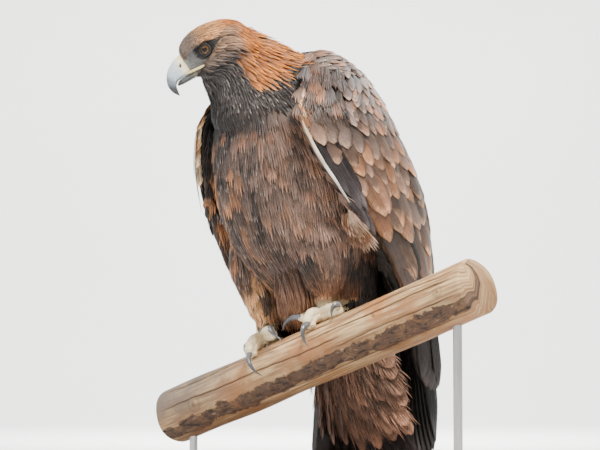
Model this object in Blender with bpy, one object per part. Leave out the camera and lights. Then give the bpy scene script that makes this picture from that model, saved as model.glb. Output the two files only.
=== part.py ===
"""A life-size golden eagle perched on a cut length of log, held by a plain display stand.

Run it with blender --background --python part.py, or from Blender's text editor.

Bird coordinates are centimetres from the perch point, which is the top of the log midway
between the feet: X to the bird's left, Y behind it, Z up. Every shape is worked out in them,
and solid() turns them into the part's metres, whose origin is the centre of the stand's underside.
"""

import math
import random

import bmesh
import bpy
import numpy as np
from mathutils import Matrix, Vector

CM = 0.01
GAP = 0.035
SOLVER = "MANIFOLD"
SHARP_ANGLE = math.radians(40.0)

# The stand and the log, in centimetres
PERCH_HEIGHT = 27.0
STAND_CENTRE = (4.5, 4.0)
BASE_SIZE = (66.0, 30.0)
BASE_THICKNESS = 2.2
BASE_CORNER = 3.0
BASE_EASING = 0.3
ROD_RADIUS = 0.65
ROD_PLACES = (-24.5, 33.0)
ROD_INSIDE = 1.5
LOG_RADIUS = 4.35
LOG_TAPER = -0.004
LOG_DROP = 0.8
LOG_SLOPE = math.radians(16.8)
LOG_ENDS = (-29.0, 37.0)

# The head's own frame: forward along the bill, up, and out to its left
HEAD_PLACE = np.array([-6.75, -12.05, 42.45])
HEAD_TURN = math.radians(45.0)
HEAD_PITCH = math.radians(33.0)
EYE_PLACE = (0.1, -0.6)
EYE_RADIUS = 1.1
EYE_OUT = 3.2
EYE_PROUD = 0.12
EYE_OPENING = 0.76
LID_RADIUS = 0.9
LID_THICKNESS = 0.19
LID_OUT = 0.86

# Where the body is split into its parts, as heights
WING_TOP = 43.2
SHOULDER_SPLIT = 25.5
COVERTS_SPLIT = 8.0
BODY_END = -2.0
SHOULDER_THICKNESS = 4.5
HACKLE_ROOM = 0.8
CUFF_ROOM = 0.35


def cubic(keys, rows, at):
    """Rows of numbers read at a key between those given, on a smooth curve through them."""
    keys = np.asarray(keys, float)
    rows = np.asarray(rows, float)
    slopes = np.gradient(rows, keys, axis=0)
    i = int(np.clip(np.searchsorted(keys, at) - 1, 0, len(keys) - 2))
    span = keys[i + 1] - keys[i]
    t = (at - keys[i]) / span
    rise = rows[i + 1] - rows[i]
    return (
        rows[i]
        + slopes[i] * span * (t - 2 * t**2 + t**3)
        + rise * (3 * t**2 - 2 * t**3)
        + slopes[i + 1] * span * (t**3 - t**2)
    )


def unit(vector):
    return vector / np.linalg.norm(vector)


def material(name, colour, roughness, metallic=0.0):
    made = bpy.data.materials.new(name)
    made.use_nodes = True
    shader = made.node_tree.nodes["Principled BSDF"]
    shader.inputs["Base Color"].default_value = (*colour, 1.0)
    shader.inputs["Roughness"].default_value = roughness
    shader.inputs["Metallic"].default_value = metallic
    made.diffuse_color = (*colour, 1.0)
    return made


def clear_scene():
    for old in list(bpy.data.objects):
        bpy.data.objects.remove(old)


def new_collection(name):
    made = bpy.data.collections.new(name)
    bpy.context.scene.collection.children.link(made)
    return made


# Closed pieces, made from points in bird coordinates


def into_part(points):
    """Bird coordinates in centimetres turned into the part's metres."""
    return (np.array(points, float) - (*STAND_CENTRE, -PERCH_HEIGHT)) * CM


def finished(shape):
    """An object made of a bmesh, its faces turned outwards."""
    bmesh.ops.recalc_face_normals(shape, faces=shape.faces)
    mesh = bpy.data.meshes.new("piece")
    shape.to_mesh(mesh)
    shape.free()
    return bpy.data.objects.new("piece", mesh)


def solid(points, faces):
    """A closed piece made of the given faces."""
    mesh = bpy.data.meshes.new("outline")
    mesh.from_pydata(into_part(points).tolist(), [], faces)
    shape = bmesh.new()
    shape.from_mesh(mesh)
    bpy.data.meshes.remove(mesh)
    return finished(shape)


def loft(rings):
    """A skin over rings of equal length, with a flat cap at each end."""
    sides = len(rings[0])
    points = [point for ring in rings for point in ring]
    faces = [tuple(range(sides)), tuple(range(len(points) - sides, len(points)))]
    for k in range(len(rings) - 1):
        for i in range(sides):
            j = (i + 1) % sides
            low, high = k * sides, (k + 1) * sides
            faces.append((low + i, low + j, high + j, high + i))
    return solid(points, faces)


def vane(rows, normals, thickness):
    """A thin vane through rows of two or three points, with the same triangles on both faces."""
    columns = len(rows[0])
    around = 2 * columns
    points, faces = [], []
    for row, normal, thick in zip(rows, normals, thickness):
        points += [point + normal * thick / 2 for point in row]
        points += [point - normal * thick / 2 for point in row]
    for k in (0, len(rows) - 1):
        for c in range(columns - 1):
            upper, lower = around * k + c, around * k + columns + c
            faces += [(upper, upper + 1, lower + 1), (upper, lower + 1, lower)]
    for k in range(len(rows) - 1):
        here, there = around * k, around * (k + 1)
        for face in (0, columns):
            for c in range(face, face + columns - 1):
                faces += [(here + c, here + c + 1, there + c + 1), (here + c, there + c + 1, there + c)]
        for c in (0, columns - 1):
            side = (here + c, here + columns + c, there + columns + c, there + c)
            faces += [side[:3], (side[0], side[2], side[3])]
    return solid(points, faces)


def ball(centre, axis, radius):
    """A sphere whose pole lies on the given axis."""
    shape = bmesh.new()
    aim = Vector(axis).to_track_quat("Z", "Y").to_matrix().to_4x4()
    place = Matrix.Translation(into_part(centre)) @ aim
    bmesh.ops.create_uvsphere(shape, u_segments=12, v_segments=6, radius=radius * CM, matrix=place)
    return finished(shape)


def upright_rod(centre, length, radius):
    """A round rod that stands on end."""
    shape = bmesh.new()
    bmesh.ops.create_cone(
        shape, cap_ends=True, segments=20, radius1=radius * CM, radius2=radius * CM,
        depth=length * CM, matrix=Matrix.Translation(into_part(centre)),
    )
    return finished(shape)


# Joining and cutting pieces into one closed node


def evaluated_copy(thing, name):
    graph = bpy.context.evaluated_depsgraph_get()
    mesh = bpy.data.meshes.new_from_object(thing.evaluated_get(graph))
    mesh.name = name
    made = bpy.data.objects.new(name, mesh)
    made.matrix_world = thing.matrix_world
    return made


def keep_largest(thing):
    """Drops every closed surface of the mesh but the largest."""
    shape = bmesh.new()
    shape.from_mesh(thing.data)
    left = set(shape.faces)
    islands = []
    while left:
        seed = left.pop()
        island, queue = [seed], [seed]
        while queue:
            for edge in queue.pop().edges:
                for face in edge.link_faces:
                    if face in left:
                        left.remove(face)
                        island.append(face)
                        queue.append(face)
        volume = 0.0
        for face in island:
            corners = [v.co for v in face.verts]
            for k in range(1, len(corners) - 1):
                volume += corners[0].dot(corners[k].cross(corners[k + 1]))
        islands.append((abs(volume), island))
    islands.sort(key=lambda entry: entry[0], reverse=True)
    scraps = [face for _, island in islands[1:] for face in island]
    bmesh.ops.delete(shape, geom=scraps, context="FACES")
    bmesh.ops.dissolve_degenerate(shape, dist=1e-6, edges=shape.edges)
    bmesh.ops.triangulate(shape, faces=shape.faces)
    shape.to_mesh(thing.data)
    shape.free()


def apply_boolean(thing, operation, others):
    """The mesh of thing joined with others, or cut by them, in one step."""
    helpers = new_collection("boolean helpers")
    for other in others:
        helpers.objects.link(other)
    bpy.context.scene.collection.objects.link(thing)
    modifier = thing.modifiers.new("join or cut", "BOOLEAN")
    modifier.operation = operation
    modifier.operand_type = "COLLECTION"
    modifier.collection = helpers
    modifier.solver = SOLVER
    bpy.context.view_layer.update()
    made = evaluated_copy(thing, "joined")
    for old in [thing, *others]:
        bpy.data.objects.remove(old)
    bpy.data.collections.remove(helpers)
    return made


def node(name, pieces, finish, parts, cutters=()):
    """One named closed body: the pieces joined, then cut clear of its neighbours."""
    body = pieces[0]
    if len(pieces) > 1:
        body = apply_boolean(body, "UNION", pieces[1:])
    for cutter in cutters:
        body = apply_boolean(body, "DIFFERENCE", [cutter])
    keep_largest(body)
    body.name = name
    body.data.name = name
    body.data.materials.clear()
    body.data.materials.append(finish)
    body.data.shade_smooth()
    body.data.set_sharp_from_angle(angle=SHARP_ANGLE)
    parts.objects.link(body)
    return body


# The trunk: height, half width, front and back

TRUNK = (
    (-2.0, 5.0, 5.4, 13.4),
    (1.5, 7.0, 4.9, 14.0),
    (4.5, 8.3, 1.0, 14.2),
    (8.0, 9.4, -4.0, 14.2),
    (12.0, 10.3, -7.8, 14.0),
    (16.0, 10.9, -10.0, 13.6),
    (20.0, 11.2, -11.4, 13.0),
    (24.0, 11.2, -12.2, 12.2),
    (28.0, 10.9, -12.4, 11.3),
    (32.0, 10.0, -11.6, 10.2),
    (35.0, 8.8, -10.0, 9.2),
    (38.0, 6.8, -7.2, 8.0),
    (40.3, 4.2, -3.4, 6.6),
    (41.6, 1.6, 0.0, 4.2),
)
TRUNK_SQUARENESS = 2.25


def superellipse(turn, power):
    """Cosine and sine of an angle, pushed out towards a square's corners."""
    c, s = math.cos(turn), math.sin(turn)
    return (
        math.copysign(abs(c) ** (2 / power), c),
        math.copysign(abs(s) ** (2 / power), s),
    )


def trunk_ring(height, grow, sides):
    wide, front, back = cubic([r[0] for r in TRUNK], [r[1:] for r in TRUNK], height)
    middle = (front + back) / 2
    deep = (back - front) / 2
    ring = []
    for i in range(sides):
        across, along = superellipse(2 * math.pi * i / sides, TRUNK_SQUARENESS)
        ring.append((across * (wide + grow), middle + along * (deep + grow), height))
    return ring


def trunk(grow=0.0, sides=18, levels=11):
    """The trunk, or with grow a slightly larger copy that cuts its neighbours clear of it."""
    low, high = TRUNK[0][0], TRUNK[-1][0]
    rings = [trunk_ring(low + (high - low) * k / levels, grow, sides) for k in range(levels + 1)]
    rings = [[(x, y, z - grow) for x, y, z in rings[0]]] + rings
    rings.append([(x, y, z + grow) for x, y, z in rings[-1]])
    if not grow:
        rings = rings[1:-1]
    return loft(rings)


# The head: along its forward axis, how high, how low and how wide it is


def head_axes():
    """Forward, up and left of the head, in bird coordinates."""
    level = np.array([-math.sin(HEAD_TURN), -math.cos(HEAD_TURN), 0.0])
    left = np.array([math.cos(HEAD_TURN), -math.sin(HEAD_TURN), 0.0])
    rise = np.array([0.0, 0.0, 1.0])
    forward = level * math.cos(HEAD_PITCH) - rise * math.sin(HEAD_PITCH)
    up = level * math.sin(HEAD_PITCH) + rise * math.cos(HEAD_PITCH)
    return forward, up, left


def on_head(forward, up, left=0.0):
    axes = head_axes()
    return HEAD_PLACE + forward * axes[0] + up * axes[1] + left * axes[2]


HEAD = (
    (-6.6, 0.6, -4.6, 2.6),
    (-5.6, 1.6, -4.9, 3.35),
    (-4.4, 2.4, -5.0, 3.75),
    (-3.0, 3.0, -4.8, 3.85),
    (-1.5, 3.33, -4.4, 3.65),
    (-0.3, 3.37, -4.1, 3.35),
    (0.8, 3.28, -3.8, 2.95),
    (1.8, 2.98, -3.45, 2.4),
    (2.8, 2.45, -3.15, 1.8),
    (3.5, 1.75, -2.85, 1.42),
)
HEAD_FRONT = 3.5


def head_ring(forward, grow, sides):
    top, bottom, wide = cubic([r[0] for r in HEAD], [r[1:] for r in HEAD], forward)
    middle = (top + bottom) / 2
    tall = (top - bottom) / 2
    ring = []
    for i in range(sides):
        across, rise = superellipse(2 * math.pi * i / sides, 2.15)
        # The cheek is fuller than the crown
        narrowing = 1.0 - 0.12 * max(rise, 0.0)
        ring.append(on_head(forward, middle + rise * (tall + grow), across * (wide * narrowing + grow)))
    return ring


def head_core(grow=0.0, sides=18, levels=11):
    low, high = HEAD[0][0] - grow, HEAD[-1][0] + grow
    return loft([head_ring(low + (high - low) * k / levels, grow, sides) for k in range(levels + 1)])


def brow(side):
    """The ridge over the eye that gives the bird its frown."""
    stations = (
        (3.1, 0.6, 1.5, 0.16),
        (1.9, 0.78, 2.2, 0.36),
        (0.7, 0.88, 2.86, 0.46),
        (-0.5, 0.82, 3.2, 0.42),
        (-1.8, 0.5, 3.46, 0.2),
    )
    rings = []
    for forward, up, out, thick in stations:
        rings.append([
            on_head(forward, up + 0.8 * thick * math.sin(a), side * (out + thick * math.cos(a)))
            for a in [2 * math.pi * i / 8 for i in range(8)]
        ])
    return loft(rings)


def eye_axis(side):
    """The way an eye looks: out of the side of the head, and a little forward."""
    forward, up, left = head_axes()
    return unit(0.36 * forward + 0.04 * up + side * 0.93 * left)


def eye_centre(side):
    return on_head(*EYE_PLACE, side * EYE_OUT) - eye_axis(side) * (EYE_RADIUS - EYE_PROUD)


def round_eye(side, turn, radius, out):
    """A point beside the eye's axis, at a height above the eye's centre."""
    axis = eye_axis(side)
    across = unit(np.cross(head_axes()[1], axis))
    rise = np.cross(axis, across)
    return eye_centre(side) + axis * out + radius * (math.cos(turn) * across + math.sin(turn) * rise)


def eye_room(side):
    """The cut through the lids in which the eye shows."""
    turns = [2 * math.pi * i / 16 for i in range(16)]
    return loft([[round_eye(side, a, EYE_OPENING, out) for a in turns] for out in (0.3, 2.2)])


def lids(side):
    """The rim of both lids, a ring round the eye."""
    segments, round_rim = 16, 5
    points, faces = [], []
    for k in range(segments):
        for j in range(round_rim):
            b = 2 * math.pi * j / round_rim
            radius = LID_RADIUS + LID_THICKNESS * math.cos(b)
            out = LID_OUT + LID_THICKNESS * math.sin(b)
            points.append(round_eye(side, 2 * math.pi * k / segments, radius, out))
    for k in range(segments):
        for j in range(round_rim):
            after, beside = (k + 1) % segments, (j + 1) % round_rim
            faces.append((
                round_rim * k + j, round_rim * after + j, round_rim * after + beside, round_rim * k + beside,
            ))
    return solid(points, faces)


# The bill: forward, up and half width of its ridge and cutting edge

CULMEN = (
    (3.55, 1.3),
    (4.6, 1.18),
    (5.6, 0.78),
    (6.5, 0.15),
    (7.2, -0.7),
    (7.62, -1.8),
    (7.5, -2.95),
    (6.93, -3.98),
)
TOMIUM = (
    (3.55, -1.93),
    (4.4, -2.0),
    (5.2, -1.92),
    (5.9, -1.95),
    (6.3, -2.2),
    (6.55, -2.6),
    (6.68, -3.1),
    (6.85, -3.93),
)
BILL_WIDTH = (1.28, 1.18, 1.05, 0.9, 0.75, 0.55, 0.32, 0.05)
CERE_END = 1.3
BILL_END = 6.9
NOSTRIL = (4.42, -0.32)
JAW = (
    (0.9, -2.2, -3.15, 1.5),
    (2.0, -2.12, -3.05, 1.32),
    (3.5, -2.04, -2.92, 1.1),
    (4.8, -2.03, -2.84, 0.86),
    (5.7, -2.01, -2.74, 0.55),
    (6.25, -2.3, -2.62, 0.22),
)


def bill_ring(station, grow, sides=12):
    """A section of the upper bill, arched over the ridge and flat along the cutting edge."""
    keys = range(len(CULMEN))
    ridge = cubic(keys, CULMEN, station)
    edge = cubic(keys, TOMIUM, station)
    wide = float(cubic(keys, [[w] for w in BILL_WIDTH], station)[0]) + grow
    rise = ridge - edge
    span = np.linalg.norm(rise)
    rise = rise / span
    ring = []
    for i in range(sides):
        a = 2 * math.pi * i / sides
        rim = 0.12
        height = span * (rim + (1 - rim) * math.sin(a)) if math.sin(a) > 0 else span * rim * (1 + math.sin(a))
        height += grow * math.sin(a)
        out = wide * math.copysign(abs(math.cos(a)) ** 0.8, math.cos(a))
        forward, up = edge + rise * height
        ring.append(on_head(forward, up, out))
    return ring


def bill_piece(first, last, steps, grow=0.0):
    return loft([bill_ring(first + (last - first) * k / steps, grow) for k in range(steps + 1)])


def jaw_piece(grow=0.0, sides=10):
    rings = []
    for forward, top, bottom, wide in JAW:
        ring = []
        for i in range(sides):
            a = 2 * math.pi * i / sides
            middle, tall = (top + bottom) / 2, (top - bottom) / 2
            ring.append(on_head(forward, middle + (tall + grow) * math.sin(a), (wide + grow) * math.cos(a)))
        rings.append(ring)
    return loft(rings)


def head_box(forward, up, left):
    """A box in the head's frame, from three pairs of limits."""
    points = [on_head(f, u, w) for f in forward for u in up for w in left]
    faces = [(0, 1, 3, 2), (4, 5, 7, 6), (0, 1, 5, 4), (2, 3, 7, 6), (0, 2, 6, 4), (1, 3, 7, 5)]
    return solid(points, faces)


def nostril(side):
    """A slanted slot in the front of the cere."""
    ring = []
    for depth in (0.7, 2.0):
        ring.append([
            on_head(
                NOSTRIL[0] + 0.3 * math.cos(a) - 0.12 * math.sin(a),
                NOSTRIL[1] + 0.26 * math.sin(a) + 0.16 * math.cos(a),
                side * depth,
            )
            for a in [2 * math.pi * i / 8 for i in range(8)]
        ])
    return loft(ring)


# The neck: centre, the half length from throat to nape, and the half width across

NECK = (
    ((-4.72, -10.02, 42.5), 5.5, 3.75, 37.0),
    ((-3.55, -8.75, 40.6), 6.3, 4.5, 40.0),
    ((-1.9, -6.9, 38.2), 7.8, 6.0, 38.0),
    ((-0.4, -4.6, 34.8), 9.8, 8.4, 28.0),
    ((0.0, -2.2, 31.0), 8.4, 7.6, 14.0),
)


def neck_ring(station, grow, sides):
    """A section that leans back, and turns from the head's facing to the body's."""
    keys = range(len(NECK))
    row = cubic(keys, [[*c, a, b, lean] for c, a, b, lean in NECK], station)
    centre, long, wide, lean = row[:3], row[3] + grow, row[4] + grow, math.radians(row[5])
    turn = HEAD_TURN * max(0.0, 1 - station / (len(NECK) - 1)) ** 0.8
    left = np.array([math.cos(turn), -math.sin(turn), 0.0])
    back = np.array([math.sin(turn), math.cos(turn), 0.0])
    rise = back * math.cos(lean) + np.array([0.0, 0.0, 1.0]) * math.sin(lean)
    ring = []
    for i in range(sides):
        a = 2 * math.pi * i / sides
        ring.append(centre + rise * long * math.sin(a) + left * wide * math.cos(a))
    return ring


def neck_core(grow=0.0, sides=16, levels=6):
    last = len(NECK) - 1
    return loft([neck_ring(last * k / levels, grow, sides) for k in range(levels + 1)])


# The folded wing: at each height, five points from its leading edge round to the spine

WING = (
    (-20.0, (9.8, 15.2), (11.0, 17.9), (11.6, 20.8), (10.2, 22.9), (5.5, 22.4)),
    (-8.0, (11.1, 14.3), (12.3, 16.9), (12.4, 19.9), (10.0, 22.0), (2.4, 20.6)),
    (0.0, (12.2, 11.9), (13.4, 14.9), (13.2, 18.0), (10.3, 20.4), (0.8, 18.2)),
    (6.0, (12.9, 9.2), (14.0, 12.2), (13.6, 15.8), (10.6, 18.9), (0.5, 17.0)),
    (12.0, (13.4, 4.2), (14.7, 8.0), (14.4, 13.2), (11.2, 18.2), (0.4, 16.8)),
    (20.0, (13.5, -3.3), (15.2, 1.8), (15.2, 8.6), (12.0, 16.1), (0.4, 16.2)),
    (27.0, (12.3, -8.4), (14.4, -2.6), (14.7, 5.2), (11.5, 13.0), (0.4, 14.8)),
    (32.0, (11.0, -9.5), (13.4, -4.0), (13.7, 3.2), (10.6, 10.6), (0.4, 13.0)),
    (36.3, (9.2, -7.0), (11.3, -1.8), (11.2, 4.4), (8.4, 9.8), (0.4, 11.2)),
    (39.7, (6.4, -3.6), (8.3, 0.6), (8.3, 4.8), (5.9, 8.4), (0.4, 9.6)),
    (41.9, (3.6, 0.4), (5.0, 2.2), (5.0, 4.7), (3.5, 6.9), (0.4, 8.0)),
    (43.2, (0.9, 2.2), (1.7, 3.0), (1.8, 4.3), (1.2, 5.6), (0.4, 6.4)),
)
# The right wing hangs further out and forward: height, then how far its leading edge is moved
RIGHT_WING_HANG = (
    (-20.0, 0.0, 1.0),
    (-8.0, 0.0, 1.2),
    (-4.0, 0.0, -2.5),
    (0.0, 0.3, -6.0),
    (6.0, 1.0, -7.6),
    (12.0, 1.5, -5.8),
    (20.0, 1.2, -1.5),
    (27.0, 0.0, 0.0),
    (43.2, 0.0, 0.0),
)
WING_FRACTIONS = (0.0, 0.25, 0.5, 0.75, 1.0)
MIDLINE = 0.3


def wing_point(side, height, across, depth=0.0):
    """A point on the folded wing, across from 0 at the leading edge to 1 at the spine."""
    rows = [[c for point in row[1:] for c in point] for row in WING]

    def surface(z, t):
        line = cubic([row[0] for row in WING], rows, z).reshape(5, 2)
        x, y = cubic(WING_FRACTIONS, line, min(max(t, 0.0), 1.0))
        if side < 0:
            hang = RIGHT_WING_HANG
            out, ahead = cubic([row[0] for row in hang], [row[1:] for row in hang], z)
            x += out * (1 - t)
            y += ahead * (1 - t) ** 1.3
        return np.array([side * x, y, z])

    point = surface(height, across)
    if depth:
        t = min(max(across, 0.03), 0.97)
        over = surface(height, t + 0.03) - surface(height, t - 0.03)
        point = point + unit(np.array([over[1], -over[0], 0.0])) * side * depth
        point[0] = side * max(side * point[0], MIDLINE)
    return point


def wing_normal(side, height, across):
    """The level direction out of the wing."""
    t = min(max(across, 0.03), 0.97)
    over = wing_point(side, height, t + 0.03) - wing_point(side, height, t - 0.03)
    return side * unit(np.array([over[1], -over[0], 0.0]))


def wing_shell(side, low, high, thick, first=0.0, last=1.0, levels=6, steps=9, inset=0.2):
    """A closed slab under the wing's surface, from its inset down to the thickness at each height."""
    outer, inner = [], []
    for k in range(levels + 1):
        height = low + (high - low) * k / levels
        row_out, row_in = [], []
        for i in range(steps + 1):
            across = first + (last - first) * i / steps
            edge = min(1.0, 0.15 + 4.0 * across)
            row_out.append(wing_point(side, height, across, -inset))
            row_in.append(wing_point(side, height, across, -inset - thick(height) * edge))
        outer.append(row_out)
        inner.append(row_in)
    rings = [row_out + row_in[::-1] for row_out, row_in in zip(outer, inner)]
    return loft(rings)


def shingle(side, top, across, length, width, lift, thick=0.09, tilt=0.13, sink=0.4):
    """A covert laid on the wing: its root sunk in, its tip free, bent with the surface."""
    rows, normals, thickness = [], [], []
    for share, wide, height in ((0.0, 0.6, -sink), (0.5, 1.0, 0.6 * lift), (1.0, 0.3, lift)):
        z = top - length * share
        near = min(max(across, 0.03), 0.97)
        stretch = np.linalg.norm(wing_point(side, z, near + 0.03) - wing_point(side, z, near - 0.03)) / 0.06
        step = width * wide / 2 / stretch
        rise = tilt * wide
        rows.append([
            wing_point(side, z, max(across - step, 0.0), height - rise),
            wing_point(side, z, across, height + 0.02),
            wing_point(side, z, min(across + step, 1.0), height + rise),
        ])
        normals.append(wing_normal(side, z, across))
        thickness.append(thick)
    return vane(rows, normals, thickness)


COVERT_LIFT = 0.36


def body_thickness(height):
    """Thick enough to reach the trunk above the rump, and a thin slab below it."""
    return 1.1 + 3.6 * min(1.0, max(0.0, (height - 5.0) / 8.0))


def shoulder_feathers(side, noise):
    pieces = []
    rows = ((39.8, 3, 5.2, 5.2), (36.2, 4, 5.6, 5.8), (32.6, 5, 5.8, 5.6), (29.2, 5, 5.0, 5.8))
    for k, (top, count, length, width) in enumerate(rows):
        for i in range(count):
            across = 0.03 + 0.94 * (i + 0.35 + 0.3 * (k % 2)) / count
            long = min(length * noise.uniform(0.92, 1.08), top - SHOULDER_SPLIT + 1.1)
            pieces.append(shingle(side, top, across, long, width, COVERT_LIFT))
    return pieces


def covert_feathers(side, noise):
    pieces = []
    rows = ((22.8, 5, 6.2, 6.2), (18.4, 5, 7.0, 6.2), (13.6, 5, 7.8, 5.8))
    for k, (top, count, length, width) in enumerate(rows):
        for i in range(count):
            across = 0.13 + 0.83 * (i + 0.35 + 0.3 * (k % 2)) / count
            long = length * noise.uniform(0.93, 1.07)
            pieces.append(shingle(side, top, across, long, width, COVERT_LIFT))
    return pieces


ALULA_WIDTH = 1.9


def alula_feathers(side):
    """Long dark feathers of the thumb and the primary coverts, along the leading edge."""
    pieces = []
    for k, (top, length, across) in enumerate(((24.6, 7.5, 0.03), (21.5, 8.5, 0.05), (18.0, 8.5, 0.07))):
        pieces.append(shingle(side, top, across, length, ALULA_WIDTH, 0.3, tilt=0.05))
    return pieces


def hanging_vane(side, top, tip, across, tip_across, width, depth, tilt, thick=0.1):
    """A flight feather hanging in the wing's surface, from its root to its tip."""
    rows, normals, thickness = [], [], []
    for share, wide in ((0.0, 0.55), (0.5, 1.0), (0.85, 0.85), (1.0, 0.2)):
        z = top + (tip - top) * share
        t = across + (tip_across - across) * share
        near = min(max(t, 0.03), 0.97)
        stretch = np.linalg.norm(wing_point(side, z, near + 0.03) - wing_point(side, z, near - 0.03)) / 0.06
        step = width * wide / 2 / stretch
        rows.append([
            wing_point(side, z, max(t - step, 0.0), -depth - tilt * wide),
            wing_point(side, z, min(t + step, 1.0), -depth + tilt * wide),
        ])
        normals.append(wing_normal(side, z, near))
        thickness.append(thick)
    return vane(rows, normals, thickness)


SECONDARY_TIPS = (-7.6, -8.8, -9.1, -8.8, -8.0, -6.8, -5.2, -3.6)
SECONDARY_WIDTH = 3.7
PRIMARY_TIPS = (-11.0, -15.5, -18.6, -19.8, -19.2, -17.2)
PRIMARY_WIDTH = 2.8
PRIMARY_ROOT = (2.0, 14.5)
PRIMARY_DEPTH = 1.0


def secondaries(side):
    top = COVERTS_SPLIT - GAP
    root = wing_shell(side, 3.5, top, lambda z: 0.8, first=0.16, levels=2, steps=8, inset=0.15)
    pieces = [root]
    count = len(SECONDARY_TIPS)
    for k, tip in enumerate(SECONDARY_TIPS):
        across = 0.22 + 0.71 * k / (count - 1)
        pieces.append(hanging_vane(side, 6.8, tip, across, across * 0.97, SECONDARY_WIDTH, 0.55, 0.26))
    return pieces


def primary_block(side):
    """The root of the primaries, under the leading edge of the coverts."""
    return wing_shell(side, *PRIMARY_ROOT, lambda z: 1.6, last=0.17, levels=3, steps=3, inset=PRIMARY_DEPTH)


def primaries(side):
    """A stack of long vanes that slide out from under the secondaries, the longest in its middle."""
    pieces = [primary_block(side)]
    for k, tip in enumerate(PRIMARY_TIPS):
        start = 0.06 + 0.022 * k
        end = 0.1 + 0.1 * k
        pieces.append(hanging_vane(side, 11.0 - 0.8 * k, tip, start, end, PRIMARY_WIDTH, 2.4 - 0.24 * k, 0.0))
    return pieces


def primary_room(side):
    """The space cut out of the coverts for the primaries and their root."""
    top = PRIMARY_ROOT[1] + GAP
    inset = PRIMARY_DEPTH - 0.05 - GAP
    return wing_shell(side, 0.0, top, lambda z: 5.0, last=0.36, levels=3, steps=4, inset=inset)


# The tail: a fan whose central feathers lie at the back

TAIL_COUNT = 12
TAIL_LENGTH = 21.5
TAIL_WIDTH = 4.7
TAIL_LEAN = math.radians(16.0)


def fan_vane(root, lean, swing, length, width, depth, thick=0.12):
    """A feather hanging from root in a plane that leans back, swung sideways, and set forward by depth."""
    lean_back = np.array([0.0, math.sin(lean), -math.cos(lean)])
    down = np.array([math.sin(swing), 0.0, 0.0]) + lean_back * math.cos(swing)
    normal = np.array([0.0, math.cos(lean), math.sin(lean)])
    over = unit(np.cross(normal, down))
    rows = []
    shape = ((0.0, 0.4), (0.45, 0.85), (0.86, 1.0), (1.0, 0.4))
    for share, wide in shape:
        middle = np.array(root) + down * length * share - normal * depth
        rows.append([middle + over * width * wide / 2, middle - over * width * wide / 2])
    return vane(rows, [normal] * len(shape), [thick] * len(shape))


def box_between(low, high):
    points = [(x, y, z) for x in (low[0], high[0]) for y in (low[1], high[1]) for z in (low[2], high[2])]
    faces = [(0, 1, 3, 2), (4, 5, 7, 6), (0, 1, 5, 4), (2, 3, 7, 6), (0, 2, 6, 4), (1, 3, 7, 5)]
    return solid(points, faces)


def tail_feathers():
    top = BODY_END - GAP
    pieces = [box_between((-3.4, 10.7, top - 2.6), (3.4, 12.5, top))]
    for k in range(TAIL_COUNT):
        place = k - (TAIL_COUNT - 1) / 2
        rank = abs(place) - 0.5
        swing = math.radians(3.6 * place)
        root = (0.52 * place, 11.9, top - 0.9)
        depth = 0.2 * rank + (0.1 if place > 0 else 0.0) - 0.1
        length = TAIL_LENGTH - 0.18 * rank**1.5
        pieces.append(fan_vane(root, TAIL_LEAN, swing, length, TAIL_WIDTH, depth))
    return pieces


# The undertail coverts' core: height, half width, front and back
UNDERTAIL = (
    (BODY_END - GAP, 4.6, 6.2, 10.35),
    (-6.0, 4.4, 7.0, 10.7),
    (-10.0, 3.7, 9.0, 11.8),
    (-14.0, 2.2, 11.7, 12.9),
)


def undertail_coverts():
    plug = []
    for z, half, front, back in UNDERTAIL:
        middle, deep = (front + back) / 2, (back - front) / 2
        plug.append([
            (half * superellipse(a, 2.6)[0], middle + deep * superellipse(a, 2.6)[1], z)
            for a in [2 * math.pi * i / 12 for i in range(12)]
        ])
    pieces = [loft(plug)]
    rows = ((-7.0, 4, 8.5, 10.5, 3.8, 9.4), (-4.6, 4, 8.0, 8.0, 3.6, 8.0), (-2.9, 3, 9.0, 6.0, 3.8, 7.0))
    for z, count, spread, length, width, y in rows:
        for i in range(count):
            place = i - (count - 1) / 2
            root = (place * 1.7, y + 0.25 * place**2, z)
            lean = math.radians(24.0 if z < -5 else 21.0)
            swing = math.radians(spread * place)
            long = length - 0.5 * abs(place)
            pieces.append(fan_vane(root, lean, swing, long, width, 0.1 * place, thick=0.1))
    return pieces


def uppertail_coverts():
    top = BODY_END - GAP
    pieces = [box_between((-3.6, 12.75, top - 2.2), (3.6, 13.7, top))]
    rows = ((1.0, 5, 6.0, 11.0, 4.0), (0.6, 4, 6.5, 7.5, 3.8))
    for k, (drop, count, spread, length, width) in enumerate(rows):
        for i in range(count):
            place = i - (count - 1) / 2
            swing = math.radians(spread * place)
            root = (place * 0.95, 13.2 + 0.35 * k, top - drop)
            long = length - 0.4 * abs(place)
            depth = 0.12 * abs(place) - 0.3
            pieces.append(fan_vane(root, TAIL_LEAN, swing, long, width, depth, thick=0.1))
    return pieces


# Legs, toes and claws on the log


FRONT = np.array([0.0, -1.0, 0.0])


def log_axes():
    """Along the log, and out of its top."""
    along = np.array([math.cos(LOG_SLOPE), 0.0, math.sin(LOG_SLOPE)])
    out = np.array([-math.sin(LOG_SLOPE), 0.0, math.cos(LOG_SLOPE)])
    return along, out


def log_centre():
    """The point of the log's axis under the perch point."""
    return -log_axes()[1] * LOG_RADIUS - np.array([0.0, 0.0, LOG_DROP])


def on_log(along, turn, above):
    """A point beside the log: turn is in degrees from its top towards the front."""
    axis, out = log_axes()
    radius = LOG_RADIUS + LOG_TAPER * along + above
    a = math.radians(turn)
    return log_centre() + axis * along + radius * (math.cos(a) * out + math.sin(a) * FRONT)


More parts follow.
